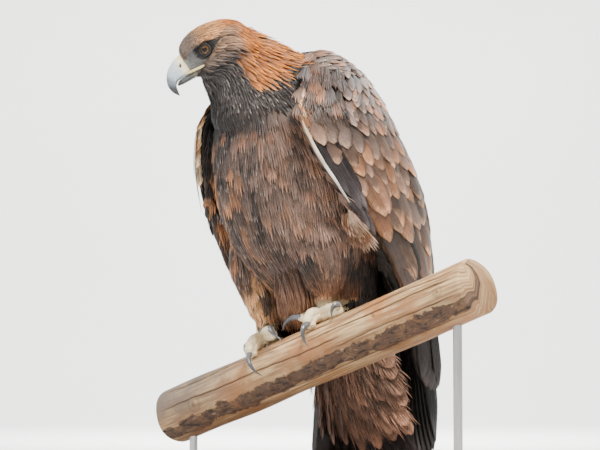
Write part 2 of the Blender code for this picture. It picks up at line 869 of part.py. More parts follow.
def tube(path, radii, sides=8):
    """A tapering tube along a path, closed at both ends."""
    path = [np.array(p, float) for p in path]
    rings = []
    guide = None
    for k, (point, radius) in enumerate(zip(path, radii)):
        ahead = path[min(k + 1, len(path) - 1)]
        behind = path[max(k - 1, 0)]
        way = unit(ahead - behind)
        if guide is None:
            guide = np.array([0.0, 0.0, 1.0]) if abs(way[2]) < 0.9 else np.array([1.0, 0.0, 0.0])
        first = unit(np.cross(way, guide))
        second = unit(np.cross(first, way))
        guide = second
        rings.append([
            point + radius * (math.cos(a) * first + math.sin(a) * second)
            for a in [2 * math.pi * i / sides for i in range(sides)]
        ])
    return loft(rings)


FEET_ALONG = {1: 6.8, -1: -5.6}
FOOT_TURN = -4.0
TOES = ("inner", "middle", "outer", "hind")
# Each toe's end along and round the log, its arch, its end's height and its radius; then how far its
# claw goes along and round the log, how high it arches and how high its tip is
TOE_SHAPES = {
    (1, "inner"): (-2.4, 18.0, 1.6, 1.9, 0.78, -4.2, 5.0, 0.7, 1.2),
    (1, "middle"): (0.4, 43.0, 1.6, 1.1, 0.76, 0.0, 43.0, 0.75, 0.16),
    (1, "outer"): (5.6, 20.0, 1.3, 1.3, 0.66, -0.8, 22.0, 0.6, 0.16),
    (1, "hind"): (-0.6, -62.0, 1.2, 1.05, 0.84, -0.3, -47.0, 0.8, 0.16),
    (-1, "inner"): (4.4, 28.0, 1.9, 2.2, 0.78, 3.2, 28.0, 0.5, 0.9),
    (-1, "middle"): (0.4, 56.0, 1.6, 1.1, 0.76, 1.7, 45.0, 0.75, 0.16),
    (-1, "outer"): (-2.4, 14.0, 1.2, 1.1, 0.66, 0.3, 24.0, 0.6, 0.16),
    (-1, "hind"): (0.6, -62.0, 1.2, 1.05, 0.84, 0.3, -47.0, 0.8, 0.16),
}


def toe_path(side, toe):
    """Points of a toe, from the foot's middle to its end, then of its claw to the claw's tip."""
    ahead, turn, arch, end, radius, shift, bend, crest, tip = TOE_SHAPES[side, toe]
    foot = FEET_ALONG[side]
    toe_points = [
        on_log(foot, math.copysign(2.0, turn), 1.5),
        on_log(foot + 0.35 * ahead, 0.35 * turn, arch + 0.2),
        on_log(foot + 0.72 * ahead, 0.72 * turn, arch),
        on_log(foot + ahead, turn, end),
    ]
    claw_points = []
    for share in (0.0, 0.25, 0.5, 0.75, 1.0):
        height = end + 0.07 + (tip - end - 0.07) * share + crest * 4 * share * (1 - share)
        claw_points.append(on_log(foot + ahead + shift * share, turn + bend * share, height))
    return toe_points, claw_points, radius


def foot(side):
    pieces = []
    for toe in TOES:
        points, _, radius = toe_path(side, toe)
        keys = range(len(points))
        path = [cubic(keys, points, (len(points) - 1) * k / 6) for k in range(7)]
        radii = [radius * r for r in (1.15, 1.05, 0.92, 1.04, 0.9, 0.98, 0.72)]
        pieces.append(tube(path, radii, 7))
    pad = [on_log(FEET_ALONG[side], FOOT_TURN, above) for above in (0.5, 2.4)]
    pieces.append(tube(pad, [1.55, 1.3], 10))
    return pieces


def claw(side, toe, grow=0.0):
    """A curved claw that starts just beyond the end of its toe, or with grow its cutter."""
    _, points, radius = toe_path(side, toe)
    keys = range(len(points))
    path = [cubic(keys, points, (len(points) - 1) * k / 6) for k in range(7)]
    path[0] = path[0] - unit(path[1] - path[0]) * grow
    radii = [radius * 0.62 * (1 - (k / 6) ** 1.5 * 0.93) + grow for k in range(7)]
    return tube(path, radii, 6)


def log_core(grow=0.0, sides=16, levels=9):
    """The log, a little uneven, with its ends cut square."""
    axis, out = log_axes()
    rings = []
    for k in range(levels + 1):
        along = LOG_ENDS[0] + (LOG_ENDS[1] - LOG_ENDS[0]) * k / levels
        ring = []
        for i in range(sides):
            a = 2 * math.pi * i / sides
            wave = 0.07 * math.sin(3 * a + along * 0.21) + 0.05 * math.sin(5 * a - along * 0.33) - 0.07
            radius = LOG_RADIUS + LOG_TAPER * along + wave + grow
            ring.append(log_centre() + axis * along + radius * (math.cos(a) * out + math.sin(a) * FRONT))
        rings.append(ring)
    return loft(rings)


THIGH = (
    ((7.4, 2.4, 17.5), 3.6, 5.0),
    ((7.3, 1.2, 13.5), 4.5, 6.4),
    ((6.9, 0.4, 9.5), 4.3, 5.6),
    ((6.2, 0.6, 6.0), 3.4, 4.2),
    ((5.7, 0.8, 3.8), 2.7, 3.2),
)


def thigh_ring(side, station, grow, sides):
    """A level section of the thigh. Past its last station it goes on straight down."""
    last = len(THIGH) - 1
    rows = [[*centre, wide, deep] for centre, wide, deep in THIGH]
    x, y, z, wide, deep = cubic(range(last + 1), rows, min(station, last))
    z += FEET_ALONG[side] * math.tan(LOG_SLOPE) * min(station, last) / last
    z -= 2.2 * max(station - last, 0.0)
    turns = [2 * math.pi * i / sides for i in range(sides)]
    middle = np.array((side * x, y, z))
    return [middle + ((wide + grow) * math.cos(a), (deep + grow) * math.sin(a), 0.0) for a in turns]


def thigh(side, grow=0.0, sides=14, levels=6):
    """The feathered thigh, from the flank down to a loose cuff."""
    last = len(THIGH) - 1
    rings = [thigh_ring(side, last * k / levels, grow, sides) for k in range(levels + 1)]
    rings[-1] = [point - (0.0, 0.0, grow) for point in rings[-1]]
    return loft(rings)


def tarsus(side, grow=0.0):
    """The short feathered shank between the cuff and the toes."""
    foot_top = on_log(FEET_ALONG[side], FOOT_TURN, 1.9 - grow)
    rings = []
    for height, radius in ((5.5, 2.0), (2.6, 1.75), (0.0, 1.6)):
        rings.append([
            foot_top + ((radius + grow) * math.cos(a), (radius + grow) * math.sin(a), height)
            for a in [2 * math.pi * i / 12 for i in range(12)]
        ])
    return loft(rings)


# The stand


def base_board():
    """The stand's flat base, rounded at its corners and eased along its upper edge."""
    shape = bmesh.new()
    centre = (*STAND_CENTRE, BASE_THICKNESS / 2 - PERCH_HEIGHT)
    stretch = Matrix.Diagonal([side * CM for side in (*BASE_SIZE, BASE_THICKNESS)]).to_4x4()
    place = Matrix.Translation(into_part(centre)) @ stretch
    bmesh.ops.create_cube(shape, size=1.0, matrix=place)
    upright = [e for e in shape.edges if abs(e.verts[0].co.z - e.verts[1].co.z) > CM]
    bmesh.ops.bevel(shape, geom=upright, offset=BASE_CORNER * CM, segments=5, affect="EDGES", profile=0.5)
    top = max(v.co.z for v in shape.verts)
    rim = [e for e in shape.edges if min(v.co.z for v in e.verts) > top - 0.1 * CM]
    bmesh.ops.bevel(shape, geom=rim, offset=BASE_EASING * CM, segments=1, affect="EDGES", profile=0.5)
    return finished(shape)


def rod(along):
    """A rod from the board up into the log, which then cuts it."""
    x = along * log_axes()[0][0] + log_centre()[0]
    low = BASE_THICKNESS - PERCH_HEIGHT + GAP
    high = on_log(along, 180.0, 0.0)[2] + ROD_INSIDE
    return upright_rod((x, 0.0, (low + high) / 2), high - low, ROD_RADIUS)


# Feathers laid along a ringed form, such as the hackles of the neck


def ring_vane(ring_at, start, reach, turn, width, lift, thick=0.08):
    """A lance-shaped feather from one ring towards a later one, at a share of the way round."""
    sides = 72
    rows, normals = [], []
    for share, wide, height in ((0.0, 0.6, -0.35), (0.5, 1.0, 0.7 * lift), (1.0, 0.22, lift)):
        place = start + reach * share
        ring = ring_at(place, sides)
        i = int(round(turn * sides)) % sides
        over = unit(ring[(i + 1) % sides] - ring[i - 1])
        ahead = ring_at(place + 0.03, sides)[i] - ring_at(place - 0.03, sides)[i]
        normal = unit(np.cross(over, ahead))
        middle = (ring[0] + ring[sides // 2]) / 2
        if np.dot(normal, ring[i] - middle) < 0:
            normal = -normal
        point = ring[i] + normal * height
        rows.append([point + over * width * wide / 2, point - over * width * wide / 2])
        normals.append(normal)
    return vane(rows, normals, [thick] * len(rows))


def hackles(noise):
    """Rows of hackles over the nape and down both sides of the neck."""
    pieces = []
    rows = ((0.05, 6, 1.05, 2.6), (0.75, 6, 1.0, 2.9), (1.45, 6, 0.9, 3.2), (1.95, 6, 0.75, 3.3))
    for k, (start, count, reach, width) in enumerate(rows):
        for i in range(count):
            turn = 0.25 + (0.66 if k < 3 else 0.52) * ((i + 0.5 + 0.25 * (-1) ** k) / count - 0.5)
            lift = 0.34 + noise.uniform(-0.03, 0.03)
            long = reach * noise.uniform(0.9, 1.1)
            pieces.append(ring_vane(lambda p, n: neck_ring(p, 0.0, n), start, long, turn, width, lift))
    return pieces


def cuff_feathers(side, noise):
    """The loose lower edge of the thigh's feathering."""
    pieces = []
    for i in range(8):
        reach = noise.uniform(1.3, 1.6)
        pieces.append(ring_vane(lambda p, n: thigh_ring(side, p, 0.0, n), 2.9, reach, i / 8, 1.9, 0.16))
    return pieces


def main():
    clear_scene()
    parts = new_collection("golden eagle on a log")
    noise = random.Random(11)
    plumage = material("brown plumage", (0.16, 0.085, 0.05), 0.75)
    golden = material("golden hackles", (0.55, 0.27, 0.09), 0.7)
    dark = material("dark flight feathers", (0.035, 0.026, 0.024), 0.55)
    horn = material("grey horn", (0.12, 0.13, 0.14), 0.25)
    skin = material("yellow skin", (0.75, 0.62, 0.33), 0.5)
    iris = material("brown eye", (0.16, 0.09, 0.04), 0.05)
    wood = material("peeled log", (0.62, 0.44, 0.27), 0.8)
    board = material("dark stained board", (0.09, 0.05, 0.03), 0.45)
    steel = material("steel rod", (0.5, 0.5, 0.5), 0.3, 1.0)

    node("torso", [trunk()], plumage, parts)
    node("neck", [neck_core(), *hackles(noise)], golden, parts, [trunk(GAP), head_core(GAP), jaw_piece(GAP)])
    sockets = [ball(eye_centre(s), eye_axis(s), EYE_RADIUS + GAP) for s in (1, -1)]
    sockets += [eye_room(1), eye_room(-1)]
    skull = [head_core(), brow(1), brow(-1), lids(1), lids(-1)]
    node("head", skull, golden, parts, [*sockets, bill_piece(0.0, CERE_END - 0.1, 2, GAP), jaw_piece(GAP)])
    for side, word in ((1, "left"), (-1, "right")):
        node(f"eye_{word}", [ball(eye_centre(side), eye_axis(side), EYE_RADIUS)], iris, parts)
    behind_cere = head_box((HEAD_FRONT - 0.5, HEAD_FRONT), (-4.0, 4.0), (-3.0, 3.0))
    node("cere", [bill_piece(0.0, CERE_END, 3)], skin, parts, [nostril(1), nostril(-1), behind_cere])
    node("bill_upper", [bill_piece(CERE_END + GAP, BILL_END, 8)], horn, parts)
    node("bill_lower", [jaw_piece()], horn, parts)

    for side, word in ((1, "left"), (-1, "right")):
        shoulder = wing_shell(side, SHOULDER_SPLIT, WING_TOP, lambda z: SHOULDER_THICKNESS, levels=6, steps=7)
        pieces = [shoulder, *shoulder_feathers(side, noise)]
        node(f"wing_{word}_shoulder", pieces, plumage, parts, [trunk(GAP), neck_core(HACKLE_ROOM)])
        coverts = wing_shell(side, COVERTS_SPLIT, SHOULDER_SPLIT - GAP, body_thickness, levels=4, steps=8)
        pieces = [coverts, *covert_feathers(side, noise), *alula_feathers(side)]
        cutters = [trunk(GAP), neck_core(GAP), thigh(side, GAP), primary_room(side)]
        node(f"wing_{word}_coverts", pieces, plumage, parts, cutters)
        node(f"wing_{word}_secondaries", secondaries(side), dark, parts)
        node(f"wing_{word}_primaries", primaries(side), dark, parts)
        node(f"thigh_{word}", [thigh(side), *cuff_feathers(side, noise)], plumage, parts, [trunk(GAP)])
        node(f"tarsus_{word}", [tarsus(side)], plumage, parts, [thigh(side, GAP), trunk(GAP)])
        cutters = [thigh(side, CUFF_ROOM), tarsus(side, GAP), log_core(GAP)]
        cutters += [claw(side, toe, GAP) for toe in TOES]
        node(f"foot_{word}", foot(side), skin, parts, cutters)
        for toe in TOES:
            node(f"claw_{word}_{toe}", [claw(side, toe)], horn, parts)

    node("tail_feathers", tail_feathers(), dark, parts)
    node("undertail_coverts", undertail_coverts(), plumage, parts)
    node("uppertail_coverts", uppertail_coverts(), plumage, parts)
    node("perch_log", [log_core()], wood, parts)
    node("stand_base", [base_board()], board, parts)
    for along, word in zip(ROD_PLACES, ("low", "high")):
        node(f"stand_rod_{word}", [rod(along)], steel, parts, [log_core(GAP)])


main()
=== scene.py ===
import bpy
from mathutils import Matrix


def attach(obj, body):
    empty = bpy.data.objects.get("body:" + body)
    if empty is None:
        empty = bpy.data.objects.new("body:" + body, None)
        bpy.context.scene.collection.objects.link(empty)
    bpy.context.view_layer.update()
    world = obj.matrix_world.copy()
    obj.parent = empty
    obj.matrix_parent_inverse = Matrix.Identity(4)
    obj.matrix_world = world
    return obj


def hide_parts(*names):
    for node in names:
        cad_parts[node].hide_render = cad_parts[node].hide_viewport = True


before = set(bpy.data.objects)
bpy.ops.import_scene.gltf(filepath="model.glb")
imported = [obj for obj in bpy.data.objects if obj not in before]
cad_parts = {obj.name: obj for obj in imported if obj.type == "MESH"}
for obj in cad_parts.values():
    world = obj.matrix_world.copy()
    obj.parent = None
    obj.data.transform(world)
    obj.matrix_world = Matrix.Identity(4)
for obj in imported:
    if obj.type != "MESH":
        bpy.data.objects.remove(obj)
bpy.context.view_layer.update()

import itertools
import math

import bmesh
import bpy
import numpy as np
from mathutils import Vector
from mathutils.bvhtree import BVHTree

# Shapes are worked out in bird coordinates: centimetres from the top of the log midway between
# the feet, X to the bird's left, Y behind it, Z up. They are turned into metres as meshes are made.
CM = 0.01
PERCH_HEIGHT = 27.0
STAND_CENTRE = (4.5, 4.0)
UP = np.array([0.0, 0.0, 1.0])
SIDES = (1, -1)
SIDE_WORDS = ((1, "left"), (-1, "right"))
rng = np.random.default_rng(20)


def unit(vectors):
    return vectors / (np.linalg.norm(vectors, axis=-1, keepdims=True) + 1e-12)


def cubic(keys, rows, at):
    """Rows of numbers read at keys between those given, on a smooth curve through them."""
    keys, rows, at = np.asarray(keys, float), np.asarray(rows, float), np.asarray(at, float)
    slopes = np.gradient(rows, keys, axis=0)
    i = np.clip(np.searchsorted(keys, at) - 1, 0, len(keys) - 2)
    spread = at.shape + (1,) * (rows.ndim - 1)
    span = (keys[i + 1] - keys[i]).reshape(spread)
    t = ((at - keys[i]) / (keys[i + 1] - keys[i])).reshape(spread)
    return (
        rows[i]
        + slopes[i] * span * (t - 2 * t**2 + t**3)
        + (rows[i + 1] - rows[i]) * (3 * t**2 - 2 * t**3)
        + slopes[i + 1] * span * (t**3 - t**2)
    )


def smooth(low, high, value):
    t = np.clip((value - low) / (high - low), 0.0, 1.0)
    return t * t * (3 - 2 * t)


def into_part(points):
    return (np.asarray(points, float) - (*STAND_CENTRE, -PERCH_HEIGHT)) * CM


def stacked(*arrays):
    """Arrays of numbers side by side, as points."""
    return np.stack(np.broadcast_arrays(*arrays), -1)


def placed(name, data):
    """A new object in the scene."""
    thing = bpy.data.objects.new(name, data)
    bpy.context.scene.collection.objects.link(thing)
    return thing


def srgb(red, green, blue):
    """A colour as seen on a screen, turned into a linear one."""
    c = np.array([red, green, blue], float) / 255
    return np.where(c <= 0.04045, c / 12.92, ((c + 0.055) / 1.055) ** 2.4)


def wander(points, size, seed):
    """Smooth patches between -1 and 1, the same for the skin and its coat."""
    draw = np.random.default_rng(seed)
    total = 0.0
    for k in range(5):
        way = unit(draw.normal(size=3)) * 2 * math.pi / (size * draw.uniform(0.6, 1.5))
        total = total + np.sin(points @ way + draw.uniform(0, 2 * math.pi))
    return total / 5 * 1.6


# Camera, floor and light

CAMERA_PLACE = (2.0876, -2.1555, 0.2209)
CAMERA_TARGET = (-0.0285, -0.0394, 0.4302)

camera = bpy.data.cameras.new("camera")
camera.lens = 118.8
camera.sensor_width = 36.0
camera_object = placed("camera", camera)
camera_object.location = CAMERA_PLACE
camera_way = Vector(CAMERA_TARGET) - Vector(CAMERA_PLACE)
camera_object.rotation_euler = camera_way.to_track_quat("-Z", "Y").to_euler()
bpy.context.scene.camera = camera_object


def area_light(name, azimuth, elevation, distance, size, power, colour=(1, 1, 1), aim=(0.0, 0.0, 0.45)):
    """A soft light that looks at its aim, the bird. Azimuth 0 is in front of it, 90 on its left."""
    lamp = bpy.data.lights.new(name, "AREA")
    lamp.shape = "DISK"
    lamp.size = size
    lamp.energy = power
    lamp.color = colour
    a, e = math.radians(azimuth), math.radians(elevation)
    aim = Vector(aim)
    way = Vector((math.sin(a) * math.cos(e), -math.cos(a) * math.cos(e), math.sin(e)))
    thing = placed(name, lamp)
    thing.location = aim + way * distance
    thing.rotation_euler = (-way).to_track_quat("-Z", "Y").to_euler()


# Azimuth, elevation, distance, size and power of each lamp, then its colour or its aim
area_light("key", 58.0, 58.0, 2.6, 0.55, 185.0, (1.0, 0.96, 0.9))
area_light("front", -8.0, 28.0, 2.8, 1.5, 22.0, (0.93, 0.96, 1.0))
area_light("back", 190.0, 40.0, 2.8, 1.4, 40.0)
area_light("right side", -75.0, 35.0, 2.6, 1.0, 30.0, (1.0, 0.97, 0.92))
area_light("backdrop high", 45.0, 24.0, 3.2, 1.6, 230.0, aim=(-3.6, 3.6, 0.5))
area_light("backdrop low", 45.0, 4.0, 3.4, 1.6, 120.0, aim=(-3.8, 3.8, 1.4))

world = bpy.data.worlds.new("studio")
world.use_nodes = True
sky = world.node_tree.nodes["Background"].inputs
sky["Color"].default_value = (0.86, 0.87, 0.88, 1.0)
sky["Strength"].default_value = 0.42
bpy.context.scene.world = world


# Making meshes and materials


def mesh_object(name, points, faces, uv=None, flat_colours=None):
    """An object from points in bird coordinates and arrays of faces with as many corners each."""
    mesh = bpy.data.meshes.new(name)
    where = into_part(points).astype(np.float32)
    faces = [np.asarray(f, np.int32) for f in faces if len(f)]
    loops = np.concatenate([f.ravel() for f in faces])
    sizes = np.concatenate([np.full(len(f), f.shape[1], np.int32) for f in faces])
    starts = np.concatenate([[0], np.cumsum(sizes)[:-1]]).astype(np.int32)
    mesh.vertices.add(len(where))
    mesh.vertices.foreach_set("co", where.ravel())
    mesh.loops.add(len(loops))
    mesh.loops.foreach_set("vertex_index", loops)
    mesh.polygons.add(len(sizes))
    mesh.polygons.foreach_set("loop_start", starts)
    mesh.polygons.foreach_set("use_smooth", np.full(len(sizes), True))
    mesh.update(calc_edges=True)
    for layer, values in (uv or {}).items():
        made = mesh.uv_layers.new(name=layer)
        made.uv.foreach_set("vector", np.asarray(values, np.float32)[loops].ravel())
    for layer, values in (flat_colours or {}).items():
        made = mesh.attributes.new(layer, "FLOAT_COLOR", "POINT")
        values = np.asarray(values, np.float32)
        if values.shape[1] == 3:
            values = np.concatenate([values, np.ones((len(values), 1), np.float32)], 1)
        made.data.foreach_set("color", values.ravel())
    return placed(name, mesh)


def ring_faces(count, rings, around):
    """Side faces and end caps of as many closed tubes, each of rings with points around."""
    first = (np.arange(count) * rings * around)[:, None, None]
    r = (np.arange(rings - 1) * around)[None, :, None]
    k = np.arange(around)[None, None, :]
    after = (k + 1) % around
    sides = np.stack(
        [first + r + k, first + r + after, first + r + around + after, first + r + around + k], -1
    )
    start = (np.arange(count) * rings * around)[:, None] + np.arange(around)[None, ::-1]
    end = (np.arange(count) * rings * around + (rings - 1) * around)[:, None] + np.arange(around)[None]
    return sides.reshape(-1, 4), np.concatenate([start, end])


class Finish:
    """A procedural material, written in few lines."""

    def __init__(self, name):
        self.material = bpy.data.materials.new(name)
        self.material.use_nodes = True
        self.tree = self.material.node_tree
        self.shader = self.tree.nodes["Principled BSDF"]

    def add(self, kind, inputs=None, **settings):
        made = self.tree.nodes.new("ShaderNode" + kind)
        for key, value in settings.items():
            setattr(made, key, value)
        for key, value in (inputs or {}).items():
            self.put(made.inputs[key], value)
        return made.outputs

    def put(self, socket, value):
        if isinstance(value, bpy.types.NodeSocket):
            self.tree.links.new(value, socket)
        else:
            socket.default_value = value

    def maths(self, operation, a, b=0.0, c=0.0):
        return self.add("Math", {0: a, 1: b, 2: c}, operation=operation)[0]

    def times(self, a, b):
        return self.maths("MULTIPLY", a, b)

    def plus(self, a, b):
        return self.maths("ADD", a, b)

    def minus(self, a, b):
        return self.maths("SUBTRACT", a, b)

    def times_plus(self, a, b, c):
        return self.maths("MULTIPLY_ADD", a, b, c)

    def step(self, value, low, high, at_low=0.0, at_high=1.0):
        """A smooth step between two values."""
        inputs = {"Value": value, "From Min": low, "From Max": high, "To Min": at_low, "To Max": at_high}
        return self.add("MapRange", inputs, interpolation_type="SMOOTHSTEP")[0]

    def mix(self, share, a, b, blend="MIX"):
        a, b = [(*v, 1.0) if isinstance(v, (tuple, np.ndarray)) and len(v) == 3 else v for v in (a, b)]
        # Its sockets for colours: 6 and 7 in, 2 out
        return self.add("Mix", {0: share, 6: a, 7: b}, data_type="RGBA", blend_type=blend)[2]

    def noise(self, vector, scale, detail=3.0, rough=0.5, distortion=0.0):
        inputs = {
            "Vector": vector, "Scale": scale, "Detail": detail, "Roughness": rough, "Distortion": distortion
        }
        return self.add("TexNoise", inputs)[0]

    def scaled(self, vector, scale):
        return self.add("Mapping", {"Vector": vector, "Scale": scale})[0]

    def place(self, scale=(1, 1, 1)):
        return self.scaled(self.add("TexCoord")["Object"], scale)

    def spot(self, layer):
        return self.add("SeparateXYZ", {0: self.add("UVMap", uv_map=layer)[0]})

    def grey(self, value):
        return self.add("CombineColor", {0: value, 1: value, 2: value})[0]

    def bump(self, height, strength, distance):
        return self.add("Bump", {"Height": height, "Strength": strength, "Distance": distance})[0]

    def done(self, colour, roughness, bump=None, **shader):
        self.put(
            self.shader.inputs["Base Color"],
            (*colour, 1.0) if isinstance(colour, (tuple, np.ndarray)) else colour
        )
        self.put(self.shader.inputs["Roughness"], roughness)
        if bump is not None:
            self.put(self.shader.inputs["Normal"], bump)
        for key, value in shader.items():
            self.shader.inputs[key.replace("_", " ")].default_value = value
        return self.material


def feather_finish(name, roughness, streaks, sheen, shade, gloss=0.4):
    """Barbs that leave the shaft at a slant, a pale worn edge and a dark root, partly painted shade."""
    f = Finish(name)
    tint = f.add("Attribute", attribute_name="Tint")
    edge = f.add("Attribute", attribute_name="Edge")["Color"]
    spot = f.spot("Feather")
    side = f.times_plus(spot[0], 2.0, -1.0)
    across, along, roll = f.maths("ABSOLUTE", side), spot[1], tint["Alpha"]
    slant = f.times_plus(across, -0.2, along)
    barb_place = f.add("CombineXYZ", {
        0: f.times(slant, 46.0), 1: f.times(side, 1.4), 2: f.times(roll, 57.0),
    })[0]
    barbs = f.noise(barb_place, 1.0, 3.0, 0.6)
    patches = f.noise(f.place(), 55.0, 2.0, 0.5)
    worn = f.times_plus(f.minus(barbs, 0.5), 0.55, across)
    margin = f.step(worn, 0.7, 1.02)
    tip = f.step(f.times_plus(f.minus(barbs, 0.5), 0.3, along), 0.78, 1.0)
    share = f.maths("MAXIMUM", f.times(margin, 0.75), tip)
    colour = f.mix(share, tint["Color"], edge)
    light = f.times_plus(f.minus(barbs, 0.5), streaks, 1.0)
    # Darker towards the root: partly the feather's own colour, partly painted shade under the feathers that
    # lie over it
    light = f.times(light, f.step(along, 0.2, 1.0, shade, 1.15))
    light = f.times(light, f.step(across, 0.0, 0.09, 0.72, 1.0))
    light = f.times(light, f.step(patches, 0.3, 0.7, 0.8, 1.16))
    colour = f.mix(1.0, colour, f.grey(light), "MULTIPLY")
    height = f.plus(f.times(barbs, 0.8), f.step(across, 0.0, 0.08, 0.6, 0.0))
    rough = f.step(barbs, 0.2, 0.8, roughness - 0.08, roughness + 0.1)
    material = f.done(colour, rough, f.bump(height, 0.5, 0.0006), Specular_IOR_Level=gloss)
    f.shader.inputs["Sheen Weight"].default_value = sheen
    f.shader.inputs["Sheen Roughness"].default_value = 0.4
    return material


# The bird's own forms, with the same named sizes as its solids

HEAD_PLACE = np.array([-6.75, -12.05, 42.45])
HEAD_TURN = math.radians(45.0)
HEAD_PITCH = math.radians(33.0)
EYE_PLACE = (0.1, -0.6)
EYE_RADIUS = 1.1
EYE_OUT = 3.2
EYE_OPENING = 0.76

LEVEL = np.array([-math.sin(HEAD_TURN), -math.cos(HEAD_TURN), 0.0])
HEAD_LEFT = np.array([math.cos(HEAD_TURN), -math.sin(HEAD_TURN), 0.0])
HEAD_FORWARD = LEVEL * math.cos(HEAD_PITCH) - UP * math.sin(HEAD_PITCH)
HEAD_UP = LEVEL * math.sin(HEAD_PITCH) + UP * math.cos(HEAD_PITCH)


def on_head(forward, up, left=0.0):
    forward, up, left = (a[..., None] for a in np.broadcast_arrays(forward, up, left))
    return HEAD_PLACE + forward * HEAD_FORWARD + up * HEAD_UP + left * HEAD_LEFT


def head_place(points):
    away = points - HEAD_PLACE
    return away @ HEAD_FORWARD, away @ HEAD_UP, away @ HEAD_LEFT


def head_depth(points):
    """How far out points lie from the head's middle: 1 on its form, less inside it."""
    forward, up, left = head_place(points)
    top, bottom, wide = cubic(HEAD[:, 0], HEAD[:, 1:], np.clip(forward, HEAD[0, 0], HEAD[-1, 0])).T
    s = (up - (top + bottom) / 2) / ((top - bottom) / 2)
    c = left / (wide * (1 - 0.12 * np.clip(s, 0, 1)))
    far = (np.abs(s) ** 2.15 + np.abs(c) ** 2.15) ** (1 / 2.15)
    return np.where((forward < HEAD[0, 0]) | (forward > HEAD[-1, 0]), 9.0, far)


def within(x, y, corners):
    """How far inside a polygon points lie, below 0 outside it."""
    corners = np.asarray(corners)
    inside = np.zeros(x.shape, bool)
    far = np.full(x.shape, 1e9)
    for (ax, ay), (bx, by) in zip(corners, np.roll(corners, -1, 0)):
        share = np.clip(
            ((x - ax) * (bx - ax) + (y - ay) * (by - ay)) / ((bx - ax) ** 2 + (by - ay) ** 2), 0, 1
        )
        far = np.minimum(far, np.hypot(x - ax - share * (bx - ax), y - ay - share * (by - ay)))
        crosses = (ay > y) != (by > y)
        inside ^= crosses & (x < (bx - ax) * (y - ay) / (by - ay + 1e-12) + ax)
    return np.where(inside, far, -far)


# The dark skin round each eye and the paler skin before it, forward and up on the head's side
MASK_SHAPE = (
    (1.6, 0.55), (1.15, 0.6), (-0.35, 0.57), (-1.58, 0.2), (-2.35, -0.25), (-3.13, -0.5), (-1.98, -0.87),
    (-0.88, -1.44), (0.14, -1.88), (1.12, -1.6), (1.7, -0.9), (1.8, 0.0),
)
LORE_SHAPE = (
    (1.2, 0.58), (2.43, 0.53), (3.2, 0.3), (3.7, -0.3), (3.8, -1.9), (2.1, -2.1), (1.12, -2.0),
    (0.14, -1.88), (0.9, -1.3), (1.5, -0.5),
)


def eye_axis(side):
    return unit(0.36 * HEAD_FORWARD + 0.04 * HEAD_UP + side * 0.93 * HEAD_LEFT)


def eye_centre(side):
    return on_head(EYE_PLACE[0], EYE_PLACE[1], side * EYE_OUT) - eye_axis(side) * (EYE_RADIUS - 0.12)


def eye_frame(side):
    """Ways out of an eye, across it and up it."""
    axis = eye_axis(side)
    across = unit(np.cross(HEAD_UP, axis))
    return axis, across, np.cross(axis, across)


def beside_eye(points, side):
    """How far out along an eye's axis points lie, and how far from that axis."""
    away = points - eye_centre(side)
    axis = eye_axis(side)
    depth = away @ axis
    return depth, np.linalg.norm(away - depth[:, None] * axis, axis=1)


def superellipse(turn, power):
    c, s = np.cos(turn), np.sin(turn)
    return np.sign(c) * np.abs(c) ** (2 / power), np.sign(s) * np.abs(s) ** (2 / power)


TRUNK = np.array((
    (-2.0, 5.0, 5.4, 13.4), (1.5, 7.0, 4.9, 14.0), (4.5, 8.3, 1.0, 14.2), (8.0, 9.4, -4.0, 14.2),
    (12.0, 10.3, -7.8, 14.0), (16.0, 10.9, -10.0, 13.6), (20.0, 11.2, -11.4, 13.0),
    (24.0, 11.2, -12.2, 12.2), (28.0, 10.9, -12.4, 11.3), (32.0, 10.0, -11.6, 10.2),
    (35.0, 8.8, -10.0, 9.2), (38.0, 6.8, -7.2, 8.0), (40.3, 4.2, -3.4, 6.6), (41.6, 1.6, 0.0, 4.2),
))
HEAD = np.array((
    (-6.6, 0.6, -4.6, 2.6), (-5.6, 1.6, -4.9, 3.35), (-4.4, 2.4, -5.0, 3.75), (-3.0, 3.0, -4.8, 3.85),
    (-1.5, 3.33, -4.4, 3.65), (-0.3, 3.37, -4.1, 3.35), (0.8, 3.28, -3.8, 2.95), (1.8, 2.98, -3.45, 2.4),
    (2.8, 2.45, -3.15, 1.8), (3.5, 1.75, -2.85, 1.42),
))
# Centre, half length from throat to nape, half width, and how far the section leans back
NECK = np.array((
    (-4.72, -10.02, 42.5, 5.5, 3.75, 37.0), (-3.55, -8.75, 40.6, 6.3, 4.5, 40.0),
    (-1.9, -6.9, 38.2, 7.8, 6.0, 38.0), (-0.4, -4.6, 34.8, 9.8, 8.4, 28.0),
    (0.0, -2.2, 31.0, 8.4, 7.6, 14.0),
))
THIGH = np.array((
    (7.4, 2.4, 17.5, 3.6, 5.0), (7.3, 1.2, 13.5, 4.5, 6.4), (6.9, 0.4, 9.5, 4.3, 5.6),
    (6.2, 0.6, 6.0, 3.4, 4.2), (5.7, 0.8, 3.8, 2.7, 3.2),
))
FEET_ALONG = {1: 6.8, -1: -5.6}
LOG_RADIUS = 4.35
LOG_TAPER = -0.004
LOG_DROP = 0.8
LOG_SLOPE = math.radians(16.8)
LOG_ENDS = (-29.0, 37.0)
LOG_WAY = np.array([math.cos(LOG_SLOPE), 0.0, math.sin(LOG_SLOPE)])
LOG_OUT = np.array([-math.sin(LOG_SLOPE), 0.0, math.cos(LOG_SLOPE)])
LOG_CENTRE = -LOG_OUT * LOG_RADIUS - UP * LOG_DROP
FRONT = np.array([0.0, -1.0, 0.0])


def on_log(along, turn, above):
    """A point beside the log: turn is in degrees from its top towards the front."""
    along, turn, above = np.broadcast_arrays(np.asarray(along, float), turn, above)
    radius = (LOG_RADIUS + LOG_TAPER * along + above)[..., None]
    a = np.radians(turn)[..., None]
    return LOG_CENTRE + LOG_WAY * along[..., None] + radius * (np.cos(a) * LOG_OUT + np.sin(a) * FRONT)


def around(sides):
    return 2 * math.pi * np.arange(sides) / sides


